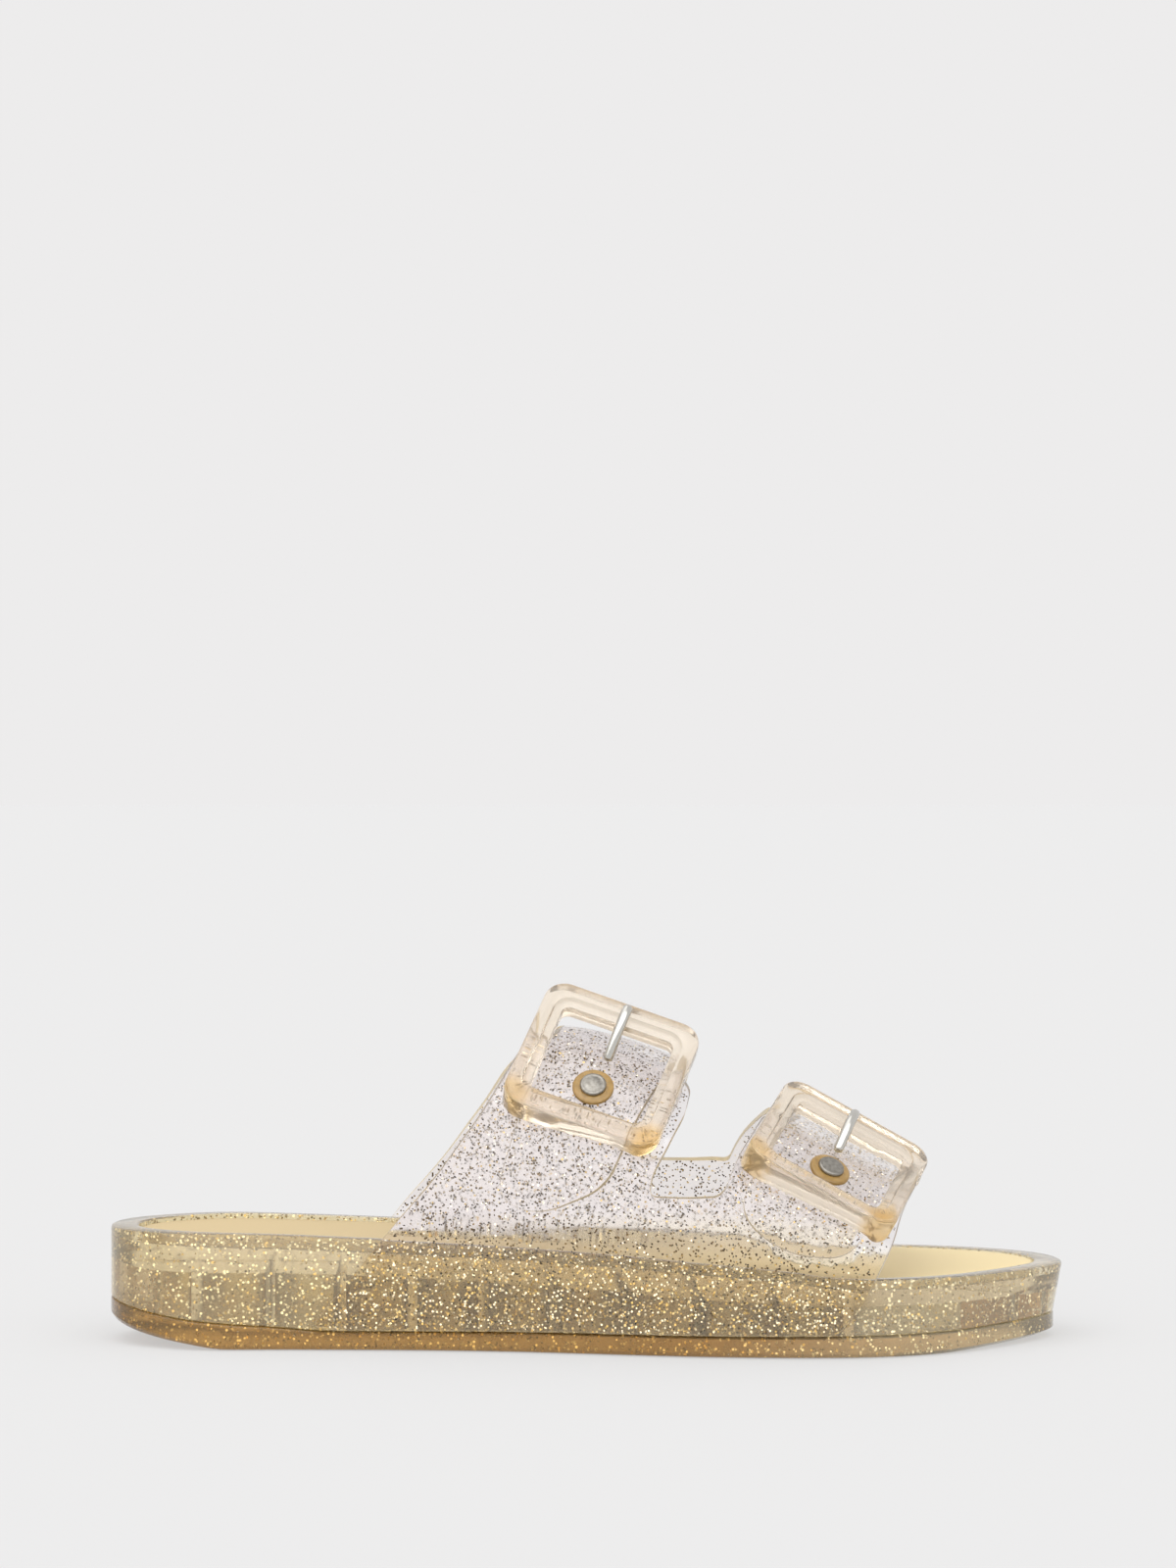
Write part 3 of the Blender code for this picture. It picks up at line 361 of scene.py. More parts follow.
def thinned(line: np.ndarray, closed: bool, keep: Sequence[Point2] = (), spacing: float = 3.0,
            turn: float = 7.0) -> list[Point2]:
    """Keep only the points that a curve needs: by length, by turning, and those listed.

    Args:
        line: The dense polyline.
        closed: Whether it returns to its first point.
        keep: Points that stay in any case.
        spacing: Largest distance between points in mm.
        turn: Largest turning between points in degrees.

    Returns:
        The points that are kept.
    """
    n = len(line)
    close, shortest = 0.3 * spacing, 0.45
    forced = {int(np.argmin(np.linalg.norm(line - np.array(k), axis=1))) for k in keep}
    forced |= {0} if closed else {0, n - 1}
    heading = np.unwrap([math.atan2(*(line[(i + 1) % n] - line[i - 1])[::-1]) for i in range(n)])
    out, last = [0], 0
    for i in range(1, n):
        length = float(np.linalg.norm(line[i] - line[last]))
        bend = abs(heading[i] - heading[last])
        near_forced = any(0 < abs(f - i) * CURVE_STEP < close and f >= i for f in forced)
        if i in forced:
            if length < close and last not in forced and len(out) > 1:
                out.pop()
            out.append(i)
            last = i
        elif (length > spacing or bend > math.radians(turn)) and not near_forced and length > shortest:
            out.append(i)
            last = i
    if closed and len(out) > 3 and np.linalg.norm(line[out[-1]] - line[out[0]]) < close:
        if out[-1] not in forced:
            out.pop()
    return [tuple(line[i]) for i in out]


def inset(line: np.ndarray, distance: Amount) -> np.ndarray:
    """Move a closed counter-clockwise curve inwards.

    Args:
        line: The curve.
        distance: How far in mm, a number or a function of X.

    Returns:
        The moved curve, point for point.
    """
    tangent = np.roll(line, -3, axis=0) - np.roll(line, 3, axis=0)
    tangent /= np.linalg.norm(tangent, axis=1)[:, None]
    inward = np.stack([-tangent[:, 1], tangent[:, 0]], axis=1)
    amounts = np.array([distance(p[0]) if callable(distance) else distance for p in line])
    return line + inward * amounts[:, None]


def inside(polygon: Sequence[Point2], points: Any) -> np.ndarray:
    """Even-odd test of points against a polygon.

    Args:
        polygon: Corners of the polygon.
        points: Points to test.

    Returns:
        Whether each point lies inside.
    """
    poly, pts = np.array(polygon), np.array(points)
    hit = np.zeros(len(pts), bool)
    following = np.roll(poly, -1, axis=0)
    for (x0, y0), (x1, y1) in zip(poly, following):
        if y0 == y1:
            continue
        cross = (y0 > pts[:, 1]) != (y1 > pts[:, 1])
        hit ^= cross & (pts[:, 0] < (x1 - x0) * (pts[:, 1] - y0) / (y1 - y0) + x0)
    return hit


def middle_of(points: Sequence[Point2], faces: Sequence[Sequence[int]]) -> tuple[np.ndarray, float]:
    """Middle and area of the largest triangle of a group.

    Args:
        points: All points.
        faces: The group's triangles.

    Returns:
        The middle and the area.
    """
    best, area = np.zeros(2), -1.0
    for f in faces:
        a, b, c = (np.array(points[i]) for i in f)
        size = abs((b - a)[0] * (c - a)[1] - (b - a)[1] * (c - a)[0]) / 2
        if size > area:
            best, area = (a + b + c) / 3, size
    return best, area


def grouped(points: Sequence[Point2], faces: Sequence[Sequence[int]], edges: Sequence[tuple[int, int]],
            loops: Sequence[Any], holes: Sequence[Any]) -> Groups:
    """Triangles inside the loops and outside the holes, as groups that the kept edges part.

    Args:
        points: All points.
        faces: All triangles.
        edges: Edges that part the groups.
        loops: Outer loops of the region.
        holes: Its holes.

    Returns:
        The groups of triangles.
    """
    walls = {frozenset(e) for e in edges}
    owner: dict[frozenset, list[int]] = {}
    for number, f in enumerate(faces):
        for a, b in zip(f, (*f[1:], f[0])):
            owner.setdefault(frozenset((a, b)), []).append(number)
    seen: set[int] = set()
    kept: Groups = []
    for start in range(len(faces)):
        if start in seen:
            continue
        seen.add(start)
        queue, members = [start], []
        while queue:
            number = queue.pop()
            members.append(number)
            corners = faces[number]
            for a, b in zip(corners, (*corners[1:], corners[0])):
                if frozenset((a, b)) in walls:
                    continue
                for other in owner[frozenset((a, b))]:
                    if other not in seen:
                        seen.add(other)
                        queue.append(other)
        group = [tuple(faces[f]) for f in sorted(members)]
        middle, area = middle_of(points, group)
        if area > 1e-3 and any(inside(path, [middle])[0] for path in loops):
            if not any(inside(path, [middle])[0] for path in holes):
                kept.append(group)
    return kept


def triangulate(loops: Sequence[Any], holes: Sequence[Any] = (), chains: Sequence[Any] = (),
                spacing: float = 3.0) -> tuple[list[Point2], Groups]:
    """Triangles of a plane region with holes and with open chains of points kept as edges.

    Args:
        loops: Outer loops of the region.
        holes: Its holes.
        chains: Open chains inside it.
        spacing: Size of the triangles in mm.

    Returns:
        The points, and the triangles in groups that the chains part.
    """
    points: list[Point2] = []
    known: dict[Point2, int] = {}
    edges: list[tuple[int, int]] = []
    for path, closed in [(p, True) for p in (*loops, *holes)] + [(p, False) for p in chains]:
        ids = []
        for p in path:
            key = (round(float(p[0]), 3), round(float(p[1]), 3))
            if key not in known:
                known[key] = len(points)
                points.append((float(p[0]), float(p[1])))
            ids.append(known[key])
        edges.extend(zip(ids, ids[1:] + (ids[:1] if closed else [])))
    border = np.array(points)
    low, high = border.min(axis=0), border.max(axis=0)
    rise = spacing * math.sqrt(0.75)
    grid = np.array([(low[0] + (column + 0.5 * (row % 2)) * spacing, low[1] + (row + 0.3) * rise)
                     for row in range(int((high[1] - low[1]) / rise) + 2)
                     for column in range(int((high[0] - low[0]) / spacing) + 2)])
    ok = np.zeros(len(grid), bool)
    for path in loops:
        ok |= inside(path, grid)
    for path in holes:
        ok &= ~inside(path, grid)
    grid = grid[ok]
    near = np.full(len(grid), 1e9)
    for a, b in edges:
        p, q = border[a], border[b]
        t = np.clip(((grid - p) @ (q - p)) / max((q - p) @ (q - p), 1e-9), 0, 1)
        near = np.minimum(near, np.linalg.norm(grid - (p + t[:, None] * (q - p)), axis=1))
    points += [tuple(g) for g in grid[near > 0.5 * spacing]]
    found, _, faces, _, _, _ = delaunay_2d_cdt([Vector(p) for p in points], edges, [], 0, 1e-5)
    if len(found) != len(points):
        raise ValueError("the region's edges cross or touch")
    return points, grouped(points, faces, edges, loops, holes)


def circle(centre: np.ndarray, u: np.ndarray, v: np.ndarray, radius: float, sides: int) -> list[np.ndarray]:
    """Points of a circle in the plane of two unit vectors.

    Args:
        centre: Its middle.
        u: Direction of the first point.
        v: Direction a quarter turn on.
        radius: Its radius in mm.
        sides: Number of points.

    Returns:
        The points.
    """
    turns = [2 * math.pi * k / sides for k in range(sides)]
    return [centre + radius * (u * math.cos(a) + v * math.sin(a)) for a in turns]


# Forms

def put(name: str, data: Any) -> bpy.types.Object:
    """Make an object of a mesh, a light or a camera and add it to the scene.

    Args:
        name: Its name.
        data: The mesh, light or camera.

    Returns:
        The object.
    """
    made = bpy.data.objects.new(name, data)
    bpy.context.scene.collection.objects.link(made)
    return made


@dataclass
class Form:
    """Collects shared points and faces of one closed mesh, in millimetres."""

    points: list[Point3] = field(default_factory=list)
    faces: list[list[int]] = field(default_factory=list)
    index: dict[Point3, int] = field(default_factory=dict)
    trimmed: int = 0

    def at(self, point: Any) -> int:
        """Number of a point, added once.

        Args:
            point: The point in mm.

        Returns:
            Its number.
        """
        key = (round(float(point[0]), 4), round(float(point[1]), 4), round(float(point[2]), 4))
        if key not in self.index:
            self.index[key] = len(self.points)
            self.points.append((float(point[0]), float(point[1]), float(point[2])))
        return self.index[key]

    def face(self, *points: Any) -> None:
        """Add one face, leaving out points that fall together.

        Args:
            points: Its corners in mm.
        """
        ids: list[int] = []
        for p in points:
            i = self.at(p)
            if i not in ids:
                ids.append(i)
        if len(ids) > 2:
            self.faces.append(ids)

    def sheet(self, region: tuple[list[Point2], Groups], height: Height, up: bool) -> None:
        """Add a plan region's triangles, lifted to a height function of X.

        Args:
            region: Points and groups of triangles.
            height: The height function.
            up: Whether the faces look up.
        """
        points, groups = region
        for f in (f for members in groups for f in members):
            order = f if up else f[::-1]
            self.face(*[(points[i][0], points[i][1], height(points[i][0])) for i in order])

    def stack(self, *levels: tuple[Sequence[Point2], Height]) -> None:
        """Add walls from each plan loop to the next: they look outwards from the bottom up, else inwards.

        Args:
            levels: Loops of equal length, each with its height function of X.
        """
        lifted = [[(x, y, height(x)) for x, y in loop] for loop, height in levels]
        for low, high in zip(lifted, lifted[1:]):
            for i in range(len(low)):
                j = (i + 1) % len(low)
                self.face(low[i], low[j], high[j], high[i])

    def rings(self, rings: Sequence[Sequence[Any]], closed: bool = False) -> None:
        """Surface through rings of equal length, capped at both ends unless it closes on itself.

        Args:
            rings: The rings, counter-clockwise seen from the last one.
            closed: Whether the last ring joins the first.
        """
        pairs = list(zip(rings, rings[1:]))
        if closed:
            pairs.append((rings[-1], rings[0]))
        for a, b in pairs:
            for i in range(len(a)):
                j = (i + 1) % len(a)
                self.face(a[i], a[j], b[j], b[i])
        if not closed:
            self.face(*rings[0][::-1])
            self.face(*rings[-1])

    def build(self, name: str, finish: bpy.types.Material, sharp: float = 32.0,
              trim: Optional[bpy.types.Material] = None) -> bpy.types.Object:
        """Make the object in metres, faces outwards, smooth except over sharp edges.

        Args:
            name: Name of the object.
            finish: Its material.
            sharp: Smallest angle of an edge that stays sharp, in degrees.
            trim: Material of the trimmed edges, which are the faces from `trimmed` on.

        Returns:
            The object.
        """
        mesh = bpy.data.meshes.new(name)
        mesh.from_pydata([tuple(c * MM for c in p) for p in self.points], [], self.faces)
        if trim is not None:
            mesh.polygons.foreach_set("material_index",
                                      [int(i >= self.trimmed) for i in range(len(mesh.polygons))])
        mesh.validate()
        mesh.calc_loop_triangles()
        points = np.array([v.co for v in mesh.vertices])
        tris = np.array([t.vertices for t in mesh.loop_triangles])
        a, b, c = points[tris[:, 0]], points[tris[:, 1]], points[tris[:, 2]]
        if np.einsum("ij,ij->i", a, np.cross(b, c)).sum() < 0:
            mesh.flip_normals()
        mesh.shade_smooth()
        mesh.set_sharp_from_angle(angle=math.radians(sharp))
        mesh.materials.append(finish)
        if trim is not None:
            mesh.materials.append(trim)
        return put(name, mesh)


def soften_edges(piece: bpy.types.Object, width: float, segments: int = 2, angle: float = 40.0) -> None:
    """Round the sharp edges of a piece with a bevel in millimetres.

    Args:
        piece: The piece.
        width: Width of the bevel in mm.
        segments: Its facets.
        angle: Smallest angle of an edge that is rounded, in degrees.
    """
    bevel = piece.modifiers.new("eased_edges", "BEVEL")
    bevel.width = width * MM
    bevel.segments = segments
    bevel.limit_method = "ANGLE"
    bevel.angle_limit = math.radians(angle)
    bevel.use_clamp_overlap = True
    bevel.harden_normals = False


def tree_of(piece: bpy.types.Object) -> BVHTree:
    """Search tree of a piece's mesh, in metres.

    Args:
        piece: The piece.

    Returns:
        The tree.
    """
    piece.data.calc_loop_triangles()
    return BVHTree.FromPolygons([v.co[:] for v in piece.data.vertices],
                                [t.vertices[:] for t in piece.data.loop_triangles])


@dataclass
class SoleShape:
    """Outline, heights and ribs of the sole, which all its layers share.

    Sizes are mm; toe_offset is a share of the ball's width. The outline's points lie a spacing apart, or
    closer where it turns by more than some degrees.
    """

    toe_offset: float = 0.085
    toe_draft: float = 2.3
    insole: float = 3.0
    wall: float = 5.0
    rib: float = 2.6
    rib_pitch: float = 19.0
    heel_bay: float = 9.0
    first_rib: float = 25.7
    toe_bay: float = 7.0
    last_rib: float = 18.0
    split: float = 2.0
    bay_corner: float = 1.4
    spacing: float = 3.0
    turn: float = 6.0

    def __post_init__(self) -> None:
        """Draw the outline and read the tables."""
        lateral = [((a - 0.5) * LENGTH, -l * BALL_WIDTH) for a, l, m in OUTLINE]
        medial = [((a - 0.5) * LENGTH, m * BALL_WIDTH) for a, l, m in OUTLINE]
        toe = (0.5 * LENGTH, self.toe_offset * BALL_WIDTH)
        self.curve = spline([(-0.5 * LENGTH, 0.0), *lateral, toe, *medial[::-1]], True)
        loop = thinned(self.curve, True, spacing=self.spacing, turn=self.turn)
        self.ids = [int(np.argmin(np.linalg.norm(self.curve - np.array(p), axis=1))) for p in loop]
        self.rim = table(HEIGHTS, 1, HEEL_HEIGHT)
        self.step = table(HEIGHTS, 2, HEEL_HEIGHT)
        self.parting = table(HEIGHTS, 3, HEEL_HEIGHT)
        self.ceiling = table(HEIGHTS, 4, HEEL_HEIGHT)
        self.bottom = table(HEIGHTS, 5, HEEL_HEIGHT)
        self.rim_width = table(RIM_WIDTHS, 1, 1.0)

    def ring(self, distance: Amount) -> list[Point2]:
        """The outline moved inwards, point for point."""
        moved = inset(self.curve, distance)
        return [tuple(moved[i]) for i in self.ids]

    def draft(self, x: float) -> float:
        """How far the side leans out by the rim, growing from the ball to the toe."""
        return self.toe_draft * ease((x - 0.31 * LENGTH) / (0.19 * LENGTH))

    def leaning(self, distance: float, share: float = 1.0) -> list[Point2]:
        """The outline moved inwards by a distance and by a share of the draft."""
        return self.ring(lambda x: distance + share * self.draft(x))

    def seat(self, x: float) -> float:
        """Floor of the recess that the insole lies in."""
        return self.rim(x) - self.step(x) - self.insole

    def cavities(self) -> list[list[Point2]]:
        """Plan loops of the bays between the cross ribs, split by ribs lengthwise.

        Returns:
            The loops, counter-clockwise.
        """
        heel, toe = -0.5 * LENGTH, 0.5 * LENGTH
        fine, long_bay, ends = 0.25, 1.5 * self.rib_pitch, 0.36 * self.rib_pitch
        inner = inset(self.curve,
                      lambda x: self.wall + self.draft(x) + 4.0 * max(0.0, x / heel - 0.88) / 0.12)
        first, last = heel + self.first_rib, toe - self.last_rib
        count = int((last - first) / self.rib_pitch - 1.5) + 1
        ribs = [first + self.rib_pitch * i for i in range(count)] + [last]
        bays = []
        for back, front in zip([heel + self.heel_bay, *ribs], [*ribs, toe - self.toe_bay]):
            long = front - back > long_bay
            x0, x1 = back + 0.5 * self.rib, front - 0.5 * self.rib
            for side in (-1, 1):
                edge = sorted(tuple(p) for p in inner
                              if x0 <= p[0] <= x1 and (p[1] - self.split) * side > self.rib + 3.0)
                if len(edge) < 8:
                    continue
                far = [(x1, edge[-1][1]), *edge[-20:10:-20], (x0, edge[0][1])]
                line = self.split + side * (ends if long else 0.5 * self.rib)
                loop = [(x0, line), (x1, line), *far]
                bays.append(softened(np.array(loop if side > 0 else loop[::-1]), self.bay_corner, True, fine))
            if long:
                low, high = self.split + self.rib - ends, self.split - self.rib + ends
                loop = [(x0, low), (x1, low), (x1, high), (x0, high)]
                bays.append(softened(np.array(loop), self.bay_corner, True, fine))
        return [thinned(b, True, spacing=60.0, turn=14.0) for b in bays]


@dataclass
class Last:
    """Inner surface of the upper, unrolled to (x, girth), girth 0 on the crest and < 0 laterally.

    wall is the upper's thickness in mm, crest_offset a share of the ball's width, and fullness the power of
    the rounding across the foot, 2 for an ellipse.
    """

    sole: SoleShape
    wall: float = 2.1
    crest_offset: float = 0.02
    fullness: float = 1.98

    def __post_init__(self) -> None:
        """Take the foot of both sides from the sole's outline."""
        side = inset(self.sole.curve, -1.5 * GAP)
        self.edges = {}
        for sign in (-1, 1):
            part = side[(side[:, 1] * sign > 0) & (np.abs(side[:, 0]) < 0.47 * LENGTH)]
            self.edges[sign] = part[np.argsort(part[:, 0])]
        self.crest = table(CREST, 1, INSTEP)
        self.cache: dict[float, tuple[np.ndarray, np.ndarray, np.ndarray]] = {}

    def section(self, x: float) -> tuple[np.ndarray, np.ndarray, np.ndarray]:
        """Girth, Y and Z along the section at X, from lateral to medial.

        Args:
            x: Place of the section in mm.

        Returns:
            Girths, Y and Z of its points.
        """
        key = round(float(x), 3)
        if key not in self.cache:
            halves = {}
            middle = self.crest_offset * BALL_WIDTH
            for sign in (-1, 1):
                foot = float(np.interp(x, self.edges[sign][:, 0], self.edges[sign][:, 1]))
                base, top = self.sole.rim(x), self.crest(x) - self.wall
                angle = np.linspace(0, math.pi / 2, 160)
                ys = middle + (foot - middle) * np.cos(angle) ** (2 / self.fullness)
                zs = base + (top - base) * np.sin(angle) ** (2 / self.fullness)
                ys, zs = np.concatenate([[foot] * 2, ys]), np.concatenate([[0.0, 0.5 * base], zs])
                girth = np.concatenate([[0], np.cumsum(np.hypot(np.diff(ys), np.diff(zs)))])
                halves[sign] = (girth - girth[-1], ys, zs)
            girths, ys, zs = (np.concatenate([low, sign * high[::-1][1:]])
                              for low, high, sign in zip(halves[-1], halves[1], (-1, 1, 1)))
            self.cache[key] = (girths, ys, zs)
        return self.cache[key]

    def point(self, x: float, girth: float) -> np.ndarray:
        """Place of an unrolled point."""
        g, ys, zs = self.section(x)
        return np.array([x, np.interp(girth, g, ys), np.interp(girth, g, zs)])

    def normal(self, x: float, girth: float) -> np.ndarray:
        """Outward direction at an unrolled point.

        Args:
            x: Its X in mm.
            girth: Its girth in mm.

        Returns:
            The unit vector.
        """
        along = self.point(x + 1.0, girth) - self.point(x - 1.0, girth)
        round_ = self.point(x, girth + 1.0) - self.point(x, girth - 1.0)
        n = np.cross(along, round_)
        return n / np.linalg.norm(n)

    def girth(self, x: float, z: float, side: int) -> float:
        """Girth at which the section at X reaches a height on one side.

        Args:
            x: Place of the section in mm.
            z: Height in mm.
            side: -1 outer, +1 inner side.

        Returns:
            The girth in mm.
        """
        g, _, zs = self.section(x)
        half = g <= 0 if side < 0 else g >= 0
        order = np.argsort(zs[half])
        return float(np.interp(z, zs[half][order], g[half][order]))


@dataclass
class UpperShape:
    """The hollow moulding: edges, raised strap ends and wall, on the unrolled last.

    Sizes are mm; notch_rise and notch_shift are shares of the instep and the length, by which the notch on
    the inner side of the foot differs from the outer one.
    """

    last: Last
    flange_wall: float = 1.3
    strap_width: float = 30.0
    notch_rise: float = 0.038
    notch_shift: float = 0.012
    spacing: float = 2.8
    turn: float = 6.0

    def on_side(self, rows: Sequence[Sequence[float]], side: int, rise: float = 0.0,
                shift: float = 0.0) -> list[Point2]:
        """Rows of a side-view table as unrolled points, raised and moved by shares.

        Args:
            rows: Rows of the table.
            side: -1 outer, +1 inner side.
            rise: Share of the instep to add to the heights.
            shift: Share of the length to add.

        Returns:
            The points.
        """
        out = []
        for along, up in rows:
            x, z = (along + shift - 0.5) * LENGTH, (up + rise) * INSTEP
            rim = self.last.sole.rim(x)
            lean = min(max((z - rim) / (self.last.crest(x) - rim), 0.0), 1.0)
            out.append((x, self.last.girth(x, z - self.last.wall * lean, side)))
        return out

    def strap_edge(self, name: StrapName, side: int, girth: float) -> Point2:
        """Point of one edge of a strap at a girth; side +1 is towards the toe.

        Args:
            name: The strap.
            side: +1 for the edge towards the toe, -1 for the other.
            girth: Girth in mm.

        Returns:
            The unrolled point.
        """
        at, lean, _, _ = STRAPS[name]
        half = 0.5 * self.strap_width * math.hypot(lean, 1.0)
        return (at - 0.5) * LENGTH + lean * girth + side * half, girth

    def flange(self, side: int) -> list[Point2]:
        """Lower edge along the parting line, heel to toe.

        Args:
            side: -1 outer, +1 inner side.

        Returns:
            The points.
        """
        ends = ((REAR_EDGE[0][0] - 0.5) * LENGTH + 6, (FRONT_EDGE[-1][0] - 0.5) * LENGTH - 6)
        return [(float(x), self.last.girth(x, self.last.sole.parting(x) + 1.5 * GAP, side))
                for x in np.linspace(*ends, 12)]

    @staticmethod
    def edge_ease(point: np.ndarray) -> float:
        """Rounding along the edges: tight at tabs and notches, wide where a strap turns over the crest."""
        return 2.2 + 7.0 * ease((16.0 - abs(point[1])) / 8.0) * (1.0 if point[1] > -8.0 else 0.35)

    def loops(self) -> tuple[np.ndarray, np.ndarray]:
        """Outer loop and the opening between the straps.

        Returns:
            Both loops, closed and dense.
        """
        rear, front = StrapName.REAR, StrapName.FRONT
        outer: list[Any] = [
            spline(self.flange(-1), False),
            spline(self.on_side(FRONT_EDGE, -1)[::-1], False),
            [self.strap_edge(front, 1, -8.0), self.strap_edge(front, 1, 0.0)],
            spline(self.on_side(FRONT_EDGE, 1), False),
            spline(self.flange(1)[::-1], False),
            spline(self.on_side(REAR_EDGE, 1), False),
            [self.strap_edge(rear, -1, 0.0), self.strap_edge(rear, -1, -STRAPS[rear][2])],
            self.on_side(REAR_TAB_TOP, -1)[::-1],
            spline(self.on_side(REAR_EDGE, -1)[::-1], False),
        ]
        gap: list[Any] = [
            spline(self.on_side(REAR_STRAP_FRONT, -1), False),
            np.array(self.on_side(NOTCH_BOTTOM, -1)),
            spline(self.on_side(FRONT_STRAP_REAR, -1), False),
            [self.strap_edge(front, -1, -STRAPS[front][2]), self.strap_edge(front, -1, 0.0)],
            spline(self.on_side(FRONT_STRAP_REAR, 1, 0.0, self.notch_shift)[::-1], False),
            np.array(self.on_side(NOTCH_BOTTOM, 1, self.notch_rise, self.notch_shift))[::-1],
            spline(self.on_side(REAR_STRAP_FRONT, 1)[::-1], False),
            [self.strap_edge(rear, 1, 0.0), self.strap_edge(rear, 1, -STRAPS[rear][2])],
        ]
        return (softened(np.vstack(outer), self.edge_ease, True),
                softened(np.vstack(gap), self.edge_ease, True))

    def tongue(self, name: StrapName, start: Point2, end: Point2) -> np.ndarray:
        """Edge of a strap end over the quarter: down one side, round the tip, up the other.

        Args:
            name: The strap.
            start: Where it leaves the rear edge.
            end: Where it meets the front edge.

        Returns:
            The dense edge.
        """
        _, lean, _, tip = STRAPS[name]
        down = np.array([-lean, -1.0]) / math.hypot(lean, 1.0)
        back, front = (np.array(self.strap_edge(name, side, -tip)) for side in (-1, 1))
        middle = 0.5 * (back + front) + down * 2.0
        path = [start, back + 0.04 * (front - back) - down * 4.0, middle,
                front - 0.04 * (front - back) - down * 4.0, end]
        return softened(np.array(path), 7.0, False)

    def wall(self, x: float, girth: float) -> float:
        """Wall thickness: full over the foot, thinner where it wraps the sole's side.

        Args:
            x: X of the unrolled point in mm.
            girth: Its girth in mm.

        Returns:
            The thickness in mm.
        """
        z = float(self.last.point(x, girth)[2])
        over = ease((z - self.last.sole.rim(x) + 3.0) / 9.0)
        return self.flange_wall + (self.last.wall - self.flange_wall) * over

    @lru_cache(maxsize=None)
    def outer(self, x: float, girth: float, high: bool) -> Point3:
        """Point of the outer face; a strap end stands one wall higher and fades out to the crest.

        Args:
            x: X of the unrolled point in mm.
            girth: Its girth in mm.
            high: Whether it is on a strap end.

        Returns:
            The point in mm.
        """
        rise = self.last.wall * ease(-girth / STRAPS[StrapName.REAR][2]) if high else 0.0
        p = self.last.point(x, girth) + self.last.normal(x, girth) * (self.wall(x, girth) + rise)
        return float(p[0]), float(p[1]), float(p[2])

    def __hash__(self) -> int:
        """Number of this object, by which the points of the outer face are kept."""
        return id(self)

    def form(self) -> Form:
        """The closed mesh.

        Returns:
            The form, its trimmed edges last.
        """
        outer, gap = self.loops()
        ends: dict[StrapName, tuple[Point2, Point2]] = {}
        for name, back, front in ((StrapName.REAR, outer, gap), (StrapName.FRONT, gap, outer)):
            top = -STRAPS[name][2]
            pair = []
            for line, side in ((back, -1), (front, 1)):
                target = np.array(self.strap_edge(name, side, top))
                pair.append(tuple(line[int(np.argmin(np.linalg.norm(line - target, axis=1)))]))
            ends[name] = (pair[0], pair[1])
        keep = [p for pair in ends.values() for p in pair]
        loops = [thinned(line, True, keep, self.spacing, self.turn) for line in (outer, gap)]
        chains = []
        for name, (start, end) in ends.items():
            chain = thinned(self.tongue(name, start, end), False, (), self.spacing, self.turn)
            chain[0], chain[-1] = start, end
            chains.append(chain)
        points, groups = triangulate([loops[0]], [loops[1]], chains, self.spacing)
        place = {(round(p[0], 3), round(p[1], 3)): p for p in points}

        def own(p: Any) -> Point2:
            """The triangulation's own point at a place."""
            return place[(round(float(p[0]), 3), round(float(p[1]), 3))]

        on_chain = {own(p) for chain in chains for p in chain}
        low_group = min(groups, key=lambda g: min(points[i][1] for f in g for i in f))
        body = Form()
        edge_high: dict[tuple[Point2, Point2], bool] = {}
        for group in groups:
            high = group is not low_group
            for f in group:
                corners = [points[i] for i in f]
                body.face(*[self.outer(*p, high) for p in corners])
                body.face(*[self.last.point(*p) for p in corners][::-1])
                for a, b in zip(corners, corners[1:] + corners[:1]):
                    edge_high[(a, b)] = high
        body.trimmed = len(body.faces)
        for chain in chains:
            for a, b in zip(chain, chain[1:]):
                a, b = own(a), own(b)
                quad = (self.outer(*a, False), self.outer(*b, False),
                        self.outer(*b, True), self.outer(*a, True))
                body.face(*(quad if edge_high[(a, b)] else quad[::-1]))
        for loop in loops:
            for i in range(len(loop)):
                a, b = own(loop[i]), own(loop[(i + 1) % len(loop)])
                forward = (a, b) in edge_high
                high = edge_high[(a, b)] if forward else edge_high[(b, a)]
                side: list[Any] = [self.last.point(*a), self.last.point(*b)]
                if high and b in on_chain:
                    side.append(self.outer(*b, False))
                side += [self.outer(*b, high), self.outer(*a, high)]
                if high and a in on_chain:
                    side.append(self.outer(*a, False))
                body.face(*(side if forward else side[::-1]))
        return body


# Finishes

def linear(code: str) -> tuple[float, float, float, float]:
    """Convert an sRGB hex code to a linear colour with alpha 1.

    Args:
        code: The hex code.

    Returns:
        Red, green, blue and alpha.
    """
    parts = [int(code.lstrip("#")[i:i + 2], 16) / 255 for i in (0, 2, 4)]
    out = [c / 12.92 if c <= 0.04045 else ((c + 0.055) / 1.055) ** 2.4 for c in parts]
    return out[0], out[1], out[2], 1.0


def add_node(tree: bpy.types.NodeTree, kind: str, settings: Optional[dict[str, Any]] = None,
             links: Optional[dict[Any, Any]] = None, **inputs: Any) -> bpy.types.Node:
    """Add a node, set it up and link it.

    Args:
        tree: Node tree to add to.
        kind: Blender's node type.
        settings: Attributes of the node.
        links: Input name or number to the output socket that feeds it.
        inputs: Input name, with _ for a space, to its value.

    Returns:
        The new node.
    """
    node = tree.nodes.new(kind)
    for key, value in (settings or {}).items():
        setattr(node, key, value)
    for key, value in inputs.items():
        node.inputs[key.replace("_", " ")].default_value = value
    for key, socket in (links or {}).items():
        tree.links.new(socket, node.inputs[key])
    return node


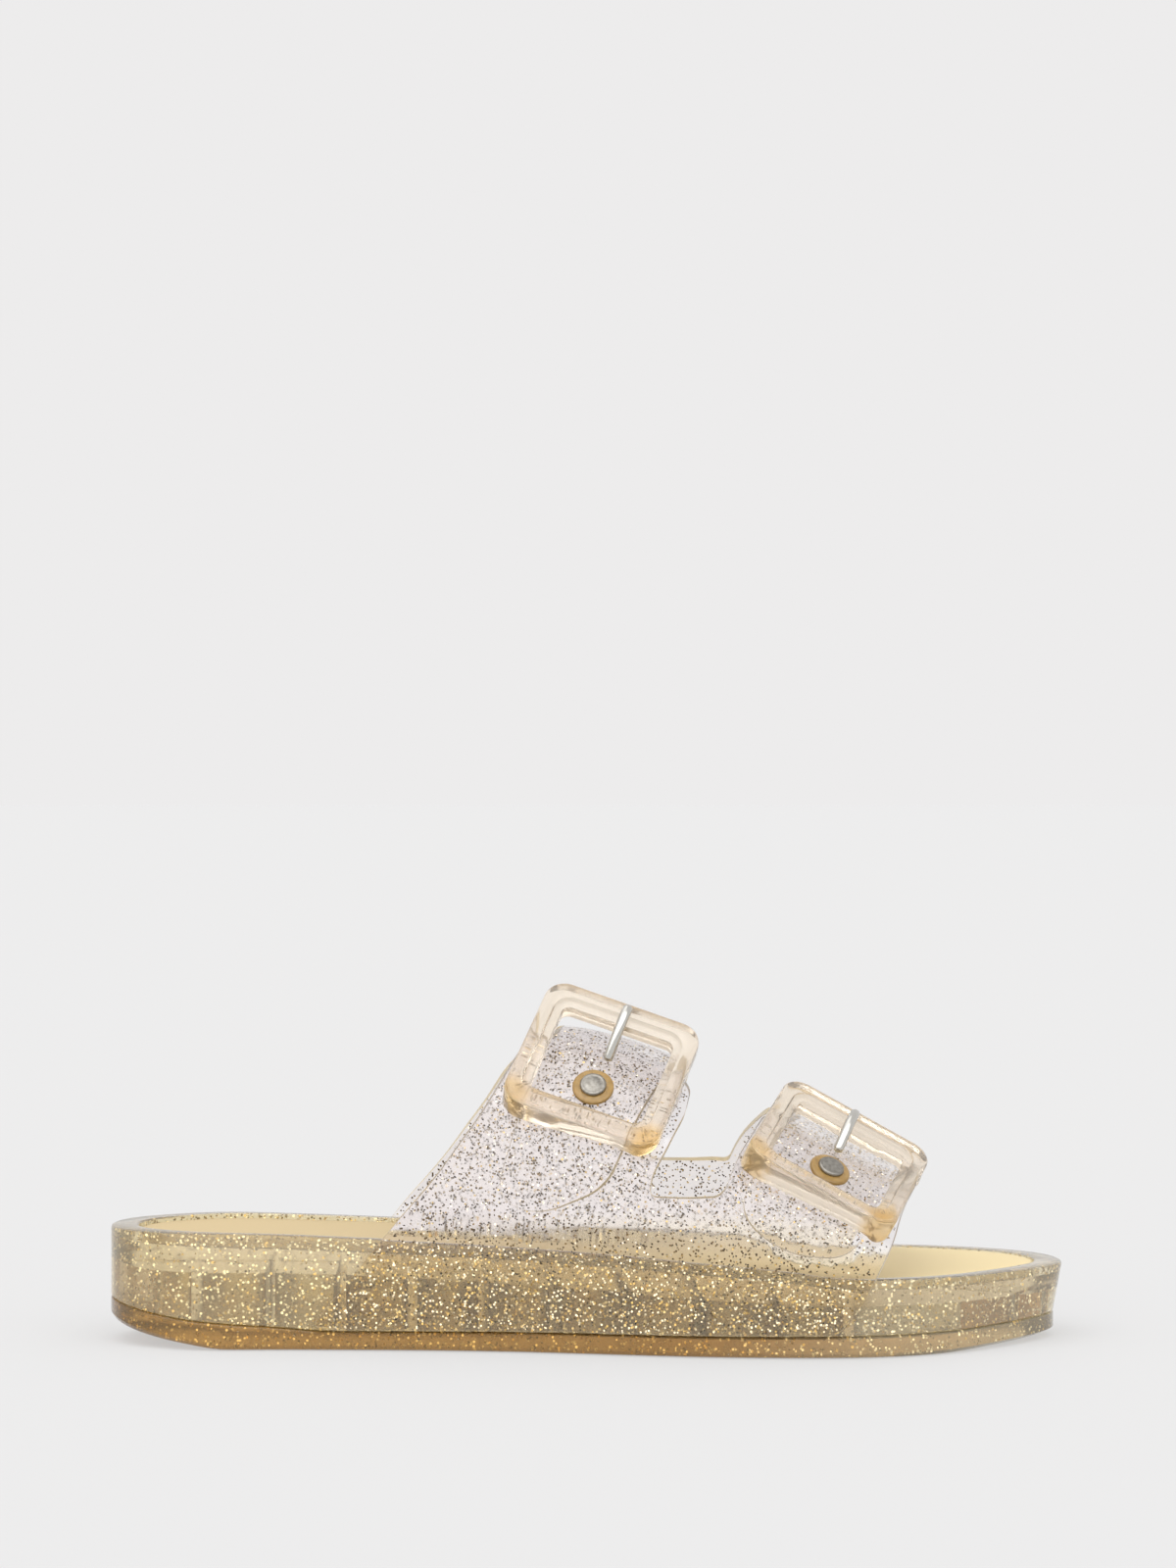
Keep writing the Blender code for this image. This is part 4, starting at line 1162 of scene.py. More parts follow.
def new_material(name: str, values: dict[str, Any]) -> bpy.types.Material:
    """Make a material with uniform values on its shader.

    Args:
        name: Its name.
        values: Input name of the shader to its value.

    Returns:
        The material.
    """
    made = bpy.data.materials.new(name)
    made.use_nodes = True
    for key, value in values.items():
        made.node_tree.nodes["Principled BSDF"].inputs[key].default_value = value
    return made


@dataclass(frozen=True)
class Finish:
    """A surface finish: two colours, how they pass into each other, and the constants of the shader.

    The colours drift in patches of pattern_mm, or pass over along an axis from from_mm to to_mm. Spots at
    warm_at have the colour warm within warm_mm, a painted glow. Where depth_density is set, light is tinted
    on its way through the material.
    """

    name: str
    colour: str
    other: str
    roughness: float
    pattern_mm: float = 12.0
    metallic: float = 0.0
    ior: float = 1.5
    transmission: float = 0.0
    bump_mm: float = 0.0
    bump_scale_mm: float = 1.0
    depth_colour: str = ""
    depth_density: float = 0.0
    from_mm: float = 0.0
    to_mm: float = 0.0
    axis: str = "X"
    warm: str = ""
    warm_at: tuple[Point3, ...] = ()
    warm_mm: float = 8.0

    def drift(self, tree: bpy.types.NodeTree, where: bpy.types.NodeSocket) -> bpy.types.NodeSocket:
        """Mix the two colours, along an axis or in soft patches.

        Args:
            tree: The material's node tree.
            where: Place on the object, in metres.

        Returns:
            The colour.
        """
        if self.to_mm > self.from_mm:
            along = add_node(tree, "ShaderNodeSeparateXYZ", links={0: where})
            share = add_node(tree, "ShaderNodeMapRange", {"interpolation_type": "SMOOTHSTEP"},
                             {"Value": along.outputs[self.axis]}, From_Min=self.from_mm * MM,
                             From_Max=self.to_mm * MM).outputs["Result"]
        else:
            share = add_node(tree, "ShaderNodeTexNoise", links={"Vector": where},
                             Scale=1.0 / (self.pattern_mm * MM), Detail=2.0).outputs["Fac"]
        mix = add_node(tree, "ShaderNodeMix", {"data_type": "RGBA"}, {0: share})
        mix.inputs[6].default_value = linear(self.colour)
        mix.inputs[7].default_value = linear(self.other)
        return mix.outputs[2]

    def warmed(self, tree: bpy.types.NodeTree, where: bpy.types.NodeSocket,
               colour: bpy.types.NodeSocket) -> bpy.types.NodeSocket:
        """Paint a warm glow into the colour round each spot.

        Args:
            tree: The material's node tree.
            where: Place on the object, in metres.
            colour: The colour elsewhere.

        Returns:
            The colour.
        """
        for spot in self.warm_at:
            near = add_node(tree, "ShaderNodeVectorMath", {"operation": "DISTANCE"}, {0: where})
            near.inputs[1].default_value = tuple(c * MM for c in spot)
            glow = add_node(tree, "ShaderNodeMapRange", {"interpolation_type": "SMOOTHSTEP"},
                            {"Value": near.outputs["Value"]}, From_Min=0.4 * self.warm_mm * MM,
                            From_Max=self.warm_mm * MM, To_Min=1.0, To_Max=0.0)
            mix = add_node(tree, "ShaderNodeMix", {"data_type": "RGBA"},
                           {0: glow.outputs["Result"], 6: colour})
            mix.inputs[7].default_value = linear(self.warm)
            colour = mix.outputs[2]
        return colour

    def build(self) -> bpy.types.Material:
        """Make the material: its colours, a fine surface bump, and absorption inside where it is clear.

        Returns:
            The material.
        """
        made = new_material(self.name, {
            "Metallic": self.metallic, "IOR": self.ior, "Roughness": self.roughness,
            "Transmission Weight": self.transmission})
        tree = made.node_tree
        shader = tree.nodes["Principled BSDF"]
        where = add_node(tree, "ShaderNodeTexCoord").outputs["Object"]
        tree.links.new(self.warmed(tree, where, self.drift(tree, where)), shader.inputs["Base Color"])
        if self.bump_mm > 0:
            grain = add_node(tree, "ShaderNodeTexNoise", links={"Vector": where},
                             Scale=1.0 / (self.bump_scale_mm * MM), Detail=3.0)
            bump = add_node(tree, "ShaderNodeBump", links={"Height": grain.outputs["Fac"]},
                            Strength=1.0, Distance=self.bump_mm * MM)
            tree.links.new(bump.outputs["Normal"], shader.inputs["Normal"])
        if self.depth_density > 0:
            tint = add_node(tree, "ShaderNodeVolumeAbsorption", Color=linear(self.depth_colour),
                            Density=self.depth_density)
            tree.links.new(tint.outputs["Volume"], tree.nodes["Material Output"].inputs["Volume"])
        return made


@dataclass(frozen=True)
class FlakeFinish:
    """Metallised film: one even colour, as a flake is smaller than any pattern."""

    name: str
    colour: str
    roughness: float

    def build(self) -> bpy.types.Material:
        """Make the material, metal all over."""
        return new_material(self.name, {"Base Color": linear(self.colour), "Metallic": 1.0,
                                        "Roughness": self.roughness})


class Palette:
    """Every finish of the sandal."""

    # Injection-moulded soft PVC: nearly colourless in a thin wall, with a moulded gloss,
    # and painted warmer low down: a painted tint standing in for the amber light of the sole, on whose side it lies
    UPPER_PVC = Finish("injection_moulded_clear_pvc", "#FDF5E2", "#FAF6F6", 0.05, ior=1.53,
                       transmission=1.0, bump_mm=0.02, bump_scale_mm=6.0, depth_colour="#EFE2CE",
                       depth_density=8.0, from_mm=23.0, to_mm=31.0, axis="Z")
    # Its trimmed edges are painted pale amber: a painted glow standing in for the light they gather along the wall
    UPPER_EDGE = Finish("trimmed_pvc_edge", "#F6E6C4", "#EFD7A4", 0.30, pattern_mm=12.0, ior=1.53,
                        transmission=0.45, depth_colour="#EFE2CE", depth_density=8.0)
    # The same PVC in thick walls, warm amber, painted deeper at the heel where light crosses much of it and paler
    # towards the toe: painted shade at the heel, painted light on the toe
    SOLE_PVC = Finish("injection_moulded_amber_pvc", "#F8EAC2", "#FFF5D8", 0.12, ior=1.53,
                      transmission=0.86, bump_mm=0.02, bump_scale_mm=7.0,
                      depth_colour="#E8CB84", depth_density=9.0, from_mm=-120.0, to_mm=100.0)
    # Flanks of its ribs, seen edge-on through the side: painted brown amber, a darker copy of the sole's PVC as
    # painted shade
    RIB_PVC = Finish("amber_pvc_rib", "#D9AD64", "#C99A50", 0.22, pattern_mm=9.0, ior=1.53,
                     transmission=0.60, depth_colour="#E8CB84", depth_density=9.0)
    # Denser amber in the tread layer, which darkens the lower band of the side; its colour is also painted darker from
    # the heel to the middle and paler at the toe, painted shade and painted light along the band
    TREAD_PVC = Finish("moulded_tread_pvc", "#D9B36C", "#FFF4D0", 0.14, ior=1.53,
                       transmission=0.86, bump_mm=0.02, bump_scale_mm=5.0,
                       depth_colour="#DDB65A", depth_density=14.0, from_mm=20.0, to_mm=105.0)
    # Matt cream footbed: soft, without reflections, a fine moulded grain, and painted a little deeper at the heel as
    # painted shade
    FOOTBED = Finish("matt_cream_footbed", "#CCB587", "#E7D3A2", 0.62, ior=1.5,
                     bump_mm=0.02, bump_scale_mm=0.5, from_mm=-70.0, to_mm=60.0)
    # Polished clear acrylic, with a painted warm glow at the corners, where they are thick and gather the light
    BUCKLE = Finish("polished_clear_amber_acrylic", "#FDF4E8", "#FAF0E0", 0.12, pattern_mm=20.0, ior=1.49,
                    transmission=0.88, depth_colour="#F6DCB0", depth_density=18.0, warm="#FCDA9A")
    # The same clear plastic in the boss that the rivet sits on, deeper in colour
    BOSS = Finish("amber_plastic_boss", "#D9B673", "#A88344", 0.15, pattern_mm=1.6, ior=1.5, transmission=0.5)
    # Bright nickel-plated wire: light grey, sharp reflections, faint polishing marks
    PLATING = Finish("nickel_plated_steel", "#D4D2CC", "#C2C0BA", 0.16, pattern_mm=2.0, metallic=1.0,
                     bump_mm=0.01, bump_scale_mm=0.4)
    # Dull nickel, stamped: a soft grey sheen, its colour mottled from light to dark in fine specks, painted highlights
    # of the stamped face
    CAP = Finish("dull_nickel_cap", "#B9B5AD", "#5F5A52", 0.34, pattern_mm=0.9, metallic=1.0,
                 bump_mm=0.05, bump_scale_mm=0.7)
    # Metallised gold film, painted dark: the shaded copy of the film, for the flakes that stand dark against the light
    # in the thin wall
    FILM_DARK = FlakeFinish("gold_film_dark", "#735D36", 0.34)
    # The same film in old gold, the middle tone between the shaded and the lit copy
    FILM_MID = FlakeFinish("gold_film_mid", "#E3C27A", 0.28)
    # The same film painted bright: the lit copy in pale gold, for the thick walls, where flakes catch the light from
    # above
    FILM_BRIGHT = FlakeFinish("gold_film_bright", "#FFF7E0", 0.22)


# Pieces

@dataclass
class Sole:
    """Outsole, midsole and insole, one above the other; facets are the largest triangles in mm."""

    shape: SoleShape
    facet: float = 8.0
    bay_facet: float = 9.0
    rim_facet: float = 6.0
    footbed_facet: float = 5.0

    def outsole(self, finish: bpy.types.Material) -> bpy.types.Object:
        """The flat tread layer, bevelled up at the heel and sprung at the toe.

        Args:
            finish: Its material.

        Returns:
            The object.
        """
        s, body = self.shape, Form()
        base, foot, edge = s.leaning(1.6, 1.9), s.leaning(0.8, 1.7), s.leaning(0.0)
        shoulder, lip = s.leaning(0.2), s.leaning(0.7)
        top = raised(s.parting, -0.2 * GAP)
        body.sheet(triangulate([base], spacing=self.facet), s.bottom, False)
        body.stack((base, s.bottom), (foot, raised(s.bottom, 0.25)), (edge, raised(s.bottom, 1.2)),
                   (edge, raised(s.parting, -0.6)), (shoulder, raised(s.parting, -0.3)), (lip, top))
        body.sheet(triangulate([lip], spacing=self.facet), top, True)
        return body.build("outsole_moulding", finish)

    def midsole(self, finish: bpy.types.Material, ribs: bpy.types.Material) -> bpy.types.Object:
        """The deep clear sole: rim and insole recess above, ribbed cavities below.

        Args:
            finish: Its material.
            ribs: Material of the flanks of the cross ribs, painted as shade.

        Returns:
            The object.
        """
        s, body = self.shape, Form()
        low, low_edge = s.leaning(0.3), s.leaning(0.0)
        rim_edge, rim_mid, rim_top = s.ring(0.0), s.ring(0.25), s.ring(0.9)
        seat_top, seat_loop = s.ring(raised(s.rim_width, -0.5)), s.ring(s.rim_width)
        bays, base = s.cavities(), raised(s.parting, 0.2 * GAP)
        body.sheet(triangulate([low], bays, spacing=self.bay_facet), base, False)
        body.stack((low, base), (low_edge, raised(base, 0.3)), (rim_edge, raised(s.rim, -0.9)),
                   (rim_mid, raised(s.rim, -0.25)), (rim_top, s.rim))
        body.sheet(triangulate([rim_top], [seat_top], spacing=self.rim_facet), s.rim, True)
        body.stack((seat_top, s.rim), (seat_loop, lambda x: s.rim(x) - min(0.4, 0.5 * s.step(x))),
                   (seat_loop, s.seat))
        body.sheet(triangulate([seat_loop], spacing=self.facet), s.seat, True)
        across = []
        for bay in bays:
            for (x0, y0), (x1, y1) in zip(bay, (*bay[1:], bay[0])):
                quad = ((x0, y0, s.ceiling(x0)), (x1, y1, s.ceiling(x1)),
                        (x1, y1, base(x1)), (x0, y0, base(x0)))
                if abs(y1 - y0) > abs(x1 - x0) and x0 < 0.5 * LENGTH - 2 * s.toe_bay:
                    across.append(quad)
                else:
                    body.face(*quad)
            body.sheet(triangulate([bay], spacing=self.bay_facet), s.ceiling, False)
        body.trimmed = len(body.faces)
        for quad in across:
            body.face(*quad)
        return body.build("midsole_moulding", finish, trim=ribs)

    def insole(self, finish: bpy.types.Material) -> bpy.types.Object:
        """Footbed in the recess, its top edge eased.

        Args:
            finish: Its material.

        Returns:
            The object.
        """
        s, body = self.shape, Form()
        outer = s.ring(lambda x: s.rim_width(x) + GAP)
        mid = s.ring(lambda x: s.rim_width(x) + GAP + 0.25)
        eased = s.ring(lambda x: s.rim_width(x) + GAP + 0.9)
        under, top = raised(s.seat, GAP), raised(s.seat, s.insole)
        body.sheet(triangulate([outer], spacing=self.facet), under, False)
        body.stack((outer, under), (outer, raised(top, -0.9)), (mid, raised(top, -0.25)), (eased, top))
        body.sheet(triangulate([eased], spacing=self.footbed_facet), top, True)
        return body.build("insole_footbed", finish, 50.0)


@dataclass
class Buckle:
    """One clear square buckle with its prong and rivet, set against the upper.

    Sizes are mm. tree is the upper's search tree; grow_low and grow_high are how far the frame's back may
    reach towards the upper, below and above the window's middle.
    """

    name: StrapName
    tree: BVHTree
    width: float = 43.5
    length: float = 42.0
    thick: float = 5.0
    corner: float = 6.0
    window_width: float = 31.4
    window_length: float = 28.5
    window_corner: float = 2.4
    ledge: float = 2.2
    ledge_drop: float = 1.4
    grow_low: float = 3.2
    grow_high: float = 1.0
    wire: float = 2.8
    wire_sides: int = 24
    cap_width: float = 7.0
    boss_width: float = 11.0
    turned_sides: int = 48
    rivet_down: float = 6.0

    def __post_init__(self) -> None:
        """Find the buckle's middle and its three directions."""
        place, across, down = (np.array(v, float) for v in BUCKLES[self.name][:3])
        self.centre = place * (LENGTH, BALL_WIDTH, INSTEP)
        self.across = across / np.linalg.norm(across)
        down = down - self.across * (down @ self.across)
        self.down = down / np.linalg.norm(down)
        out = np.cross(self.across, self.down)
        self.out = out if out[2] > 0 else -out

    def corners(self) -> tuple[Point3, ...]:
        """The two lower corners of the frame, where the plastic looks deepest and the warm glow is painted."""
        return tuple(tuple(float(c) for c in self.centre + self.across * side * (0.5 * self.width - 2.0)
                           + self.down * (0.5 * self.length - 2.0)) for side in (-1, 1))

    @staticmethod
    def rounded(width: float, length: float, radius: float, arc: int = 9, straight: int = 7) -> list[Point2]:
        """Rounded rectangle, counter-clockwise, with points along its straights.

        Args:
            width: Its width in mm.
            length: Its length in mm.
            radius: Radius of its corners in mm.
            arc: Facets of a corner.
            straight: Points along each straight.

        Returns:
            The points.
        """
        corners: list[Point2] = []
        for sx, sy, turn in ((1, 1, 0), (-1, 1, 90), (-1, -1, 180), (1, -1, 270)):
            cx, cy = sx * (0.5 * width - radius), sy * (0.5 * length - radius)
            for k in range(arc + 1):
                a = math.radians(turn + 90 * k / arc)
                corners.append((cx + radius * math.cos(a), cy + radius * math.sin(a)))
        full: list[Point2] = []
        for i, p in enumerate(corners):
            full.append(p)
            if i % (arc + 1) == arc:
                q = corners[(i + 1) % len(corners)]
                full += [(p[0] + (q[0] - p[0]) * t / (straight + 1),
                          p[1] + (q[1] - p[1]) * t / (straight + 1)) for t in range(1, straight + 1)]
        return full

    def reach(self, point: np.ndarray, most: float) -> float:
        """How far the back can grow towards the upper, from the nearest of some rays.

        Args:
            point: Point of the frame's back.
            most: Largest growth in mm.

        Returns:
            The growth in mm, negative where the back draws in.
        """
        best, above, lowest = most, 4.0, -2.0
        for u, v in ((0, 0), (2.6, 0), (-2.6, 0), (0, 2.6), (0, -2.6), (1.8, 1.8), (-1.8, 1.8), (1.8, -1.8),
                     (-1.8, -1.8)):
            start = point + self.across * u + self.down * v + self.out * above
            hit = self.tree.ray_cast(Vector(start * MM), Vector(-self.out))
            if hit[0] is not None:
                best = min(best, hit[3] / MM - above - 2.2 * GAP)
        return max(best, lowest)

    def outline(self, off: float) -> list[Point2]:
        """The frame's outer edge, moved inwards."""
        return self.rounded(self.width - 2 * off, self.length - 2 * off, max(self.corner - off, 0.5))

    def window(self, off: float) -> list[Point2]:
        """The window's edge, moved outwards."""
        return self.rounded(self.window_width + 2 * off, self.window_length + 2 * off,
                            self.window_corner + off)

    def frame(self, finish: bpy.types.Material) -> bpy.types.Object:
        """The square frame with a ledge round its window; its back follows the upper.

        Args:
            finish: Its material.

        Returns:
            The object.
        """
        half, ledge = 0.5 * self.thick, self.ledge
        shelf, back = half - self.ledge_drop, -half + 1.0
        profile = (
            (self.outline, 0.9, -half), (self.outline, 0.26, -half + 0.26), (self.outline, 0.0, -half + 0.9),
            (self.outline, 0.0, half - 1.3), (self.outline, 0.15, half - 0.65),
            (self.outline, 0.55, half - 0.18), (self.outline, 1.3, half),
            (self.window, ledge + 0.8, half), (self.window, ledge + 0.25, half - 0.2),
            (self.window, ledge, half - 0.6), (self.window, ledge - 0.1, shelf), (self.window, 0.5, shelf),
            (self.window, 0.12, shelf - 0.15), (self.window, 0.0, shelf - 0.5),
            (self.window, 0.0, -half + 0.5), (self.window, 0.15, -half + 0.15), (self.window, 0.5, -half),
        )
        rings = []
        for edge, off, z in profile:
            ring = []
            for u, v in edge(off):
                p = self.centre + self.across * u - self.down * v + self.out * z
                if z < back:
                    p = p - self.out * self.reach(p, self.grow_low if v < 0 else self.grow_high)
                ring.append(p)
            if z < back:
                ring = [(ring[i - 1] + 2 * ring[i] + ring[(i + 1) % len(ring)]) / 4 for i in range(len(ring))]
            rings.append([tuple(p) for p in ring])
        body = Form()
        body.rings(rings, closed=True)
        return body.build("buckle_frame_" + self.name.value, finish, 38.0)

    def surface(self, place: np.ndarray, height: float) -> tuple[np.ndarray, np.ndarray]:
        """Point and outward direction of the upper below a place.

        Args:
            place: The place in mm.
            height: How far above it the search starts, in mm.

        Returns:
            The point in mm and the unit vector.
        """
        hit = self.tree.ray_cast(Vector((place + self.out * height) * MM), Vector(-self.out))
        axis = np.array(hit[1])
        return np.array(hit[0]) / MM, axis if axis @ self.out > 0 else -axis

    def prong(self, finish: bpy.types.Material) -> bpy.types.Object:
        """Wire prong over the top bar, dipping to the strap inside the window.

        Args:
            finish: Its material.

        Returns:
            The object.
        """
        shift = self.across * BUCKLES[self.name][3] * 0.5 * self.window_width
        radius = 0.5 * self.wire
        lift = 0.5 * self.thick + radius + GAP
        top = -BUCKLES[self.name][4]
        rows = ((top, lift), (top + 1.6, lift + 0.2), (top + 4.2, lift - 0.3))
        path = [self.centre + shift + self.down * v + self.out * z for v, z in rows]
        ground, _ = self.surface(self.centre + shift * 0.55 + self.down * -5.0, 8.0)
        end = ground + self.out * (radius + 1.5 * GAP)
        path += [0.5 * (path[-1] + end) + self.out * 0.6, end]
        for _ in range(3):
            line = [path[0]]
            for a, b in zip(path, path[1:]):
                line += [a + (b - a) * 0.5, b]
            middle = [(line[i - 1] + 2 * line[i] + line[i + 1]) / 4 for i in range(1, len(line) - 1)]
            path = [line[0], *middle, line[-1]]
        dome = [(math.cos(math.radians(a)) * 0.9, math.sin(math.radians(a))) for a in (18, 36, 54, 72)]
        rings = []
        normal = np.cross(path[1] - path[0], (0, 0, 1.0))
        for i, p in enumerate(path):
            t = path[min(i + 1, len(path) - 1)] - path[max(i - 1, 0)]
            t /= np.linalg.norm(t)
            normal = normal - t * (normal @ t)
            normal /= np.linalg.norm(normal)
            stops = [(0.0, 1.0)]
            if i == 0:
                stops = [(-along, size) for along, size in dome] + stops
            elif i == len(path) - 1:
                stops += dome[::-1]
            other = np.cross(t, normal)
            rings += [circle(p + t * along * radius, normal, other, radius * size, self.wire_sides)
                      for along, size in stops]
        body = Form()
        body.rings(rings)
        return body.build("prong_wire_" + self.name.value, finish, 60.0)

    def turned(self, name: str, profile: Sequence[Point2], finish: bpy.types.Material) -> bpy.types.Object:
        """Turned piece square to the strap in the window; profile gives radius and height.

        Args:
            name: Name of the piece.
            profile: Radius and height of each ring in mm.
            finish: Its material.

        Returns:
            The object.
        """
        foot, axis = self.surface(self.centre + self.down * self.rivet_down, 9.0)
        foot = foot + axis * GAP * 1.4
        side = np.cross(axis, self.across)
        side /= np.linalg.norm(side)
        body = Form()
        body.rings([circle(foot + axis * h, side, np.cross(side, axis), r, self.turned_sides)
                    for r, h in profile])
        return body.build(f"{name}_{self.name.value}", finish, 45.0)

    def boss(self, finish: bpy.types.Material) -> bpy.types.Object:
        """Low clear boss under the cap."""
        r = 0.5 * self.boss_width
        return self.turned("rivet_boss", (
            (r - 0.15, 0.0), (r, 0.15), (r, 0.7), (r - 0.2, 1.0), (r - 0.7, 1.15),
            (0.5 * self.cap_width, 1.2)), finish)

    def cap(self, finish: bpy.types.Material) -> bpy.types.Object:
        """Domed metal cap with a rolled edge and a shallow dish, left plain."""
        r = 0.5 * self.cap_width
        return self.turned("rivet_cap", (
            (r - 0.1, 1.25), (r, 1.4), (r, 1.8), (r - 0.15, 2.1), (r - 0.5, 2.3), (r - 0.8, 2.25),
            (r - 1.1, 2.2), (0.5 * r, 2.45), (0.2 * r, 2.55)), finish)


@dataclass
class Glitter:
    """Hexagonal film flakes inside a clear moulding.

    per_area is flakes for each square mm of wall, size_mm their width over the corners, tumble and lean how
    far they turn from the wall at random and upwards, as shares of their length, few_dark the chance of a
    dark flake, which is painted shade, and middling the share of the others that are old gold.
    """

    seed: int
    per_area: float = 0.60
    size_mm: float = 0.70
    tumble: float = 0.22
    lean: float = 0.20
    few_dark: float = 0.02
    middling: float = 0.25

    def scatter(self, name: str, places: np.ndarray, normals: np.ndarray,
                finishes: Sequence[bpy.types.Material], tumble: Any, lean: Any,
                dark: Any) -> bpy.types.Object:
        """Make one mesh of flakes.

        Args:
            name: Name of the piece.
            places: Middles of the flakes in metres.
            normals: Direction that each flake roughly faces.
            finishes: Dark, middle and bright materials of the flakes.
            tumble: How far the flakes turn from it at random, one for all or one for each.
            lean: How far the flakes lean back, to face upwards too, one for all or one for each.
            dark: Chance that a flake is dark, as painted shade, one for all or one for each.

        Returns:
            The object.
        """
        rng = np.random.default_rng(self.seed)
        count = len(places)
        facing = normals + rng.normal(0, 1, (count, 3)) * np.reshape(tumble, (-1, 1))
        facing[:, 2] += lean
        facing /= np.linalg.norm(facing, axis=1)[:, None]
        helper = np.where(np.abs(facing[:, 2:3]) < 0.8, [[0.0, 0.0, 1.0]], [[1.0, 0.0, 0.0]])
        u = np.cross(facing, helper)
        u /= np.linalg.norm(u, axis=1)[:, None]
        v = np.cross(facing, u)
        radius = 0.5 * self.size_mm * MM * rng.uniform(0.7, 1.15, count)
        turn = rng.uniform(0, 2 * math.pi, count)
        corners = []
        for k in range(6):
            a = turn + k * math.pi / 3
            corners.append(places + radius[:, None] * (u * np.cos(a)[:, None] + v * np.sin(a)[:, None]))
        verts = np.stack(corners, axis=1).reshape(-1, 3)
        mesh = bpy.data.meshes.new(name)
        mesh.vertices.add(len(verts))
        mesh.vertices.foreach_set("co", verts.ravel())
        mesh.loops.add(len(verts))
        mesh.loops.foreach_set("vertex_index", np.arange(len(verts), dtype=np.int32))
        mesh.polygons.add(count)
        mesh.polygons.foreach_set("loop_start", np.arange(0, len(verts), 6, dtype=np.int32))
        luck = rng.uniform(size=count)
        shade = np.where(luck < dark, 0, np.where(luck < dark + self.middling * (1 - dark), 1, 2))
        mesh.polygons.foreach_set("material_index", shade.astype(np.int32))
        mesh.update(calc_edges=True)
        mesh.validate()
        for finish in finishes:
            mesh.materials.append(finish)
        return put(name, mesh)

    def in_sheet(self, shape: UpperShape) -> tuple[np.ndarray, np.ndarray]:
        """Places inside the upper's wall, by area of its inner face.

        Args:
            shape: The upper's shape.

        Returns:
            Places in metres, and the outward direction at each.
        """
        rng = np.random.default_rng(self.seed + 1)
        outer, gap = shape.loops()
        low, high = outer.min(axis=0), outer.max(axis=0)
        count = int(self.per_area * (high[0] - low[0]) * (high[1] - low[1]))
        spots = rng.uniform(low, high, (count, 2))
        spots = spots[inside(outer, spots) & ~inside(gap, spots)]
        clear = np.full(len(spots), 1e9)
        for line in (outer, gap):
            for p in line[::2]:
                clear = np.minimum(clear, np.hypot(*(spots - p).T))
        spots = spots[clear > 0.6]
        depth = rng.uniform(0.2, 0.8, len(spots))
        places, normals = [], []
        for (x, girth), share in zip(spots, depth):
            base = shape.last.point(x, girth)
            n = shape.last.normal(x, girth)
            places.append(base + n * share * shape.wall(x, girth))
            normals.append(n)
        return np.array(places) * MM, np.array(normals)

    def in_skin(self, piece: bpy.types.Object, shape: SoleShape, margin: float = 0.15, skin: float = 7.0,
                deepest: float = 2.4) -> tuple[np.ndarray, np.ndarray]:
        """Places just inside the upright faces of a layer of the sole, near its outline.

        Args:
            piece: The layer.
            shape: The sole's outline.
            margin: Least distance from any surface, mm.
            skin: Depth behind the outline in which faces count, mm.
            deepest: Largest depth of a flake behind its face, mm.

        Returns:
            Places in metres, and the outward direction at each.
        """
        rng = np.random.default_rng(self.seed + 2)
        core = shape.leaning(skin)
        tree = tree_of(piece)
        mesh = piece.data
        mesh.calc_loop_triangles()
        corners = np.array([[mesh.vertices[i].co for i in t.vertices] for t in mesh.loop_triangles])
        normals = np.array([t.normal for t in mesh.loop_triangles])
        upright = np.abs(normals[:, 2]) < 0.8
        corners, normals = corners[upright], normals[upright]
        across = np.cross(corners[:, 1] - corners[:, 0], corners[:, 2] - corners[:, 0])
        areas = 0.5 * np.linalg.norm(across, axis=1)
        count = int(self.per_area * areas.sum() / MM ** 2)
        chosen = rng.choice(len(areas), count, p=areas / areas.sum())
        a, b = np.sort(rng.uniform(size=(2, count)), axis=0)
        shares = np.stack([a, b - a, 1 - b], axis=1)
        on_face = np.einsum("ij,ijk->ik", shares, corners[chosen])
        depth = margin + (deepest - margin) * rng.uniform(size=count) ** 1.6
        spots = on_face - normals[chosen] * depth[:, None] * MM
        kept = []
        for i in np.flatnonzero(~inside(core, spots[:, :2] / MM)):
            place, normal, _, distance = tree.find_nearest(Vector(spots[i]), 0.02)
            if place is not None and distance > margin * MM and (Vector(spots[i]) - place).dot(normal) < 0:
                kept.append(i)
        return spots[kept], normals[chosen][kept]

    def on_sole(self, name: str, piece: bpy.types.Object, shape: SoleShape,
                finishes: Sequence[bpy.types.Material]) -> bpy.types.Object:
        """Flakes of one layer of the sole.

        Args:
            name: Name of the piece.
            piece: The layer.
            shape: The sole's outline.
            finishes: Dark, middle and bright materials of the flakes.

        Returns:
            The object.
        """
        places, normals = self.in_skin(piece, shape)
        return self.scatter(name, places, normals, finishes, self.tumble, self.lean, self.few_dark)


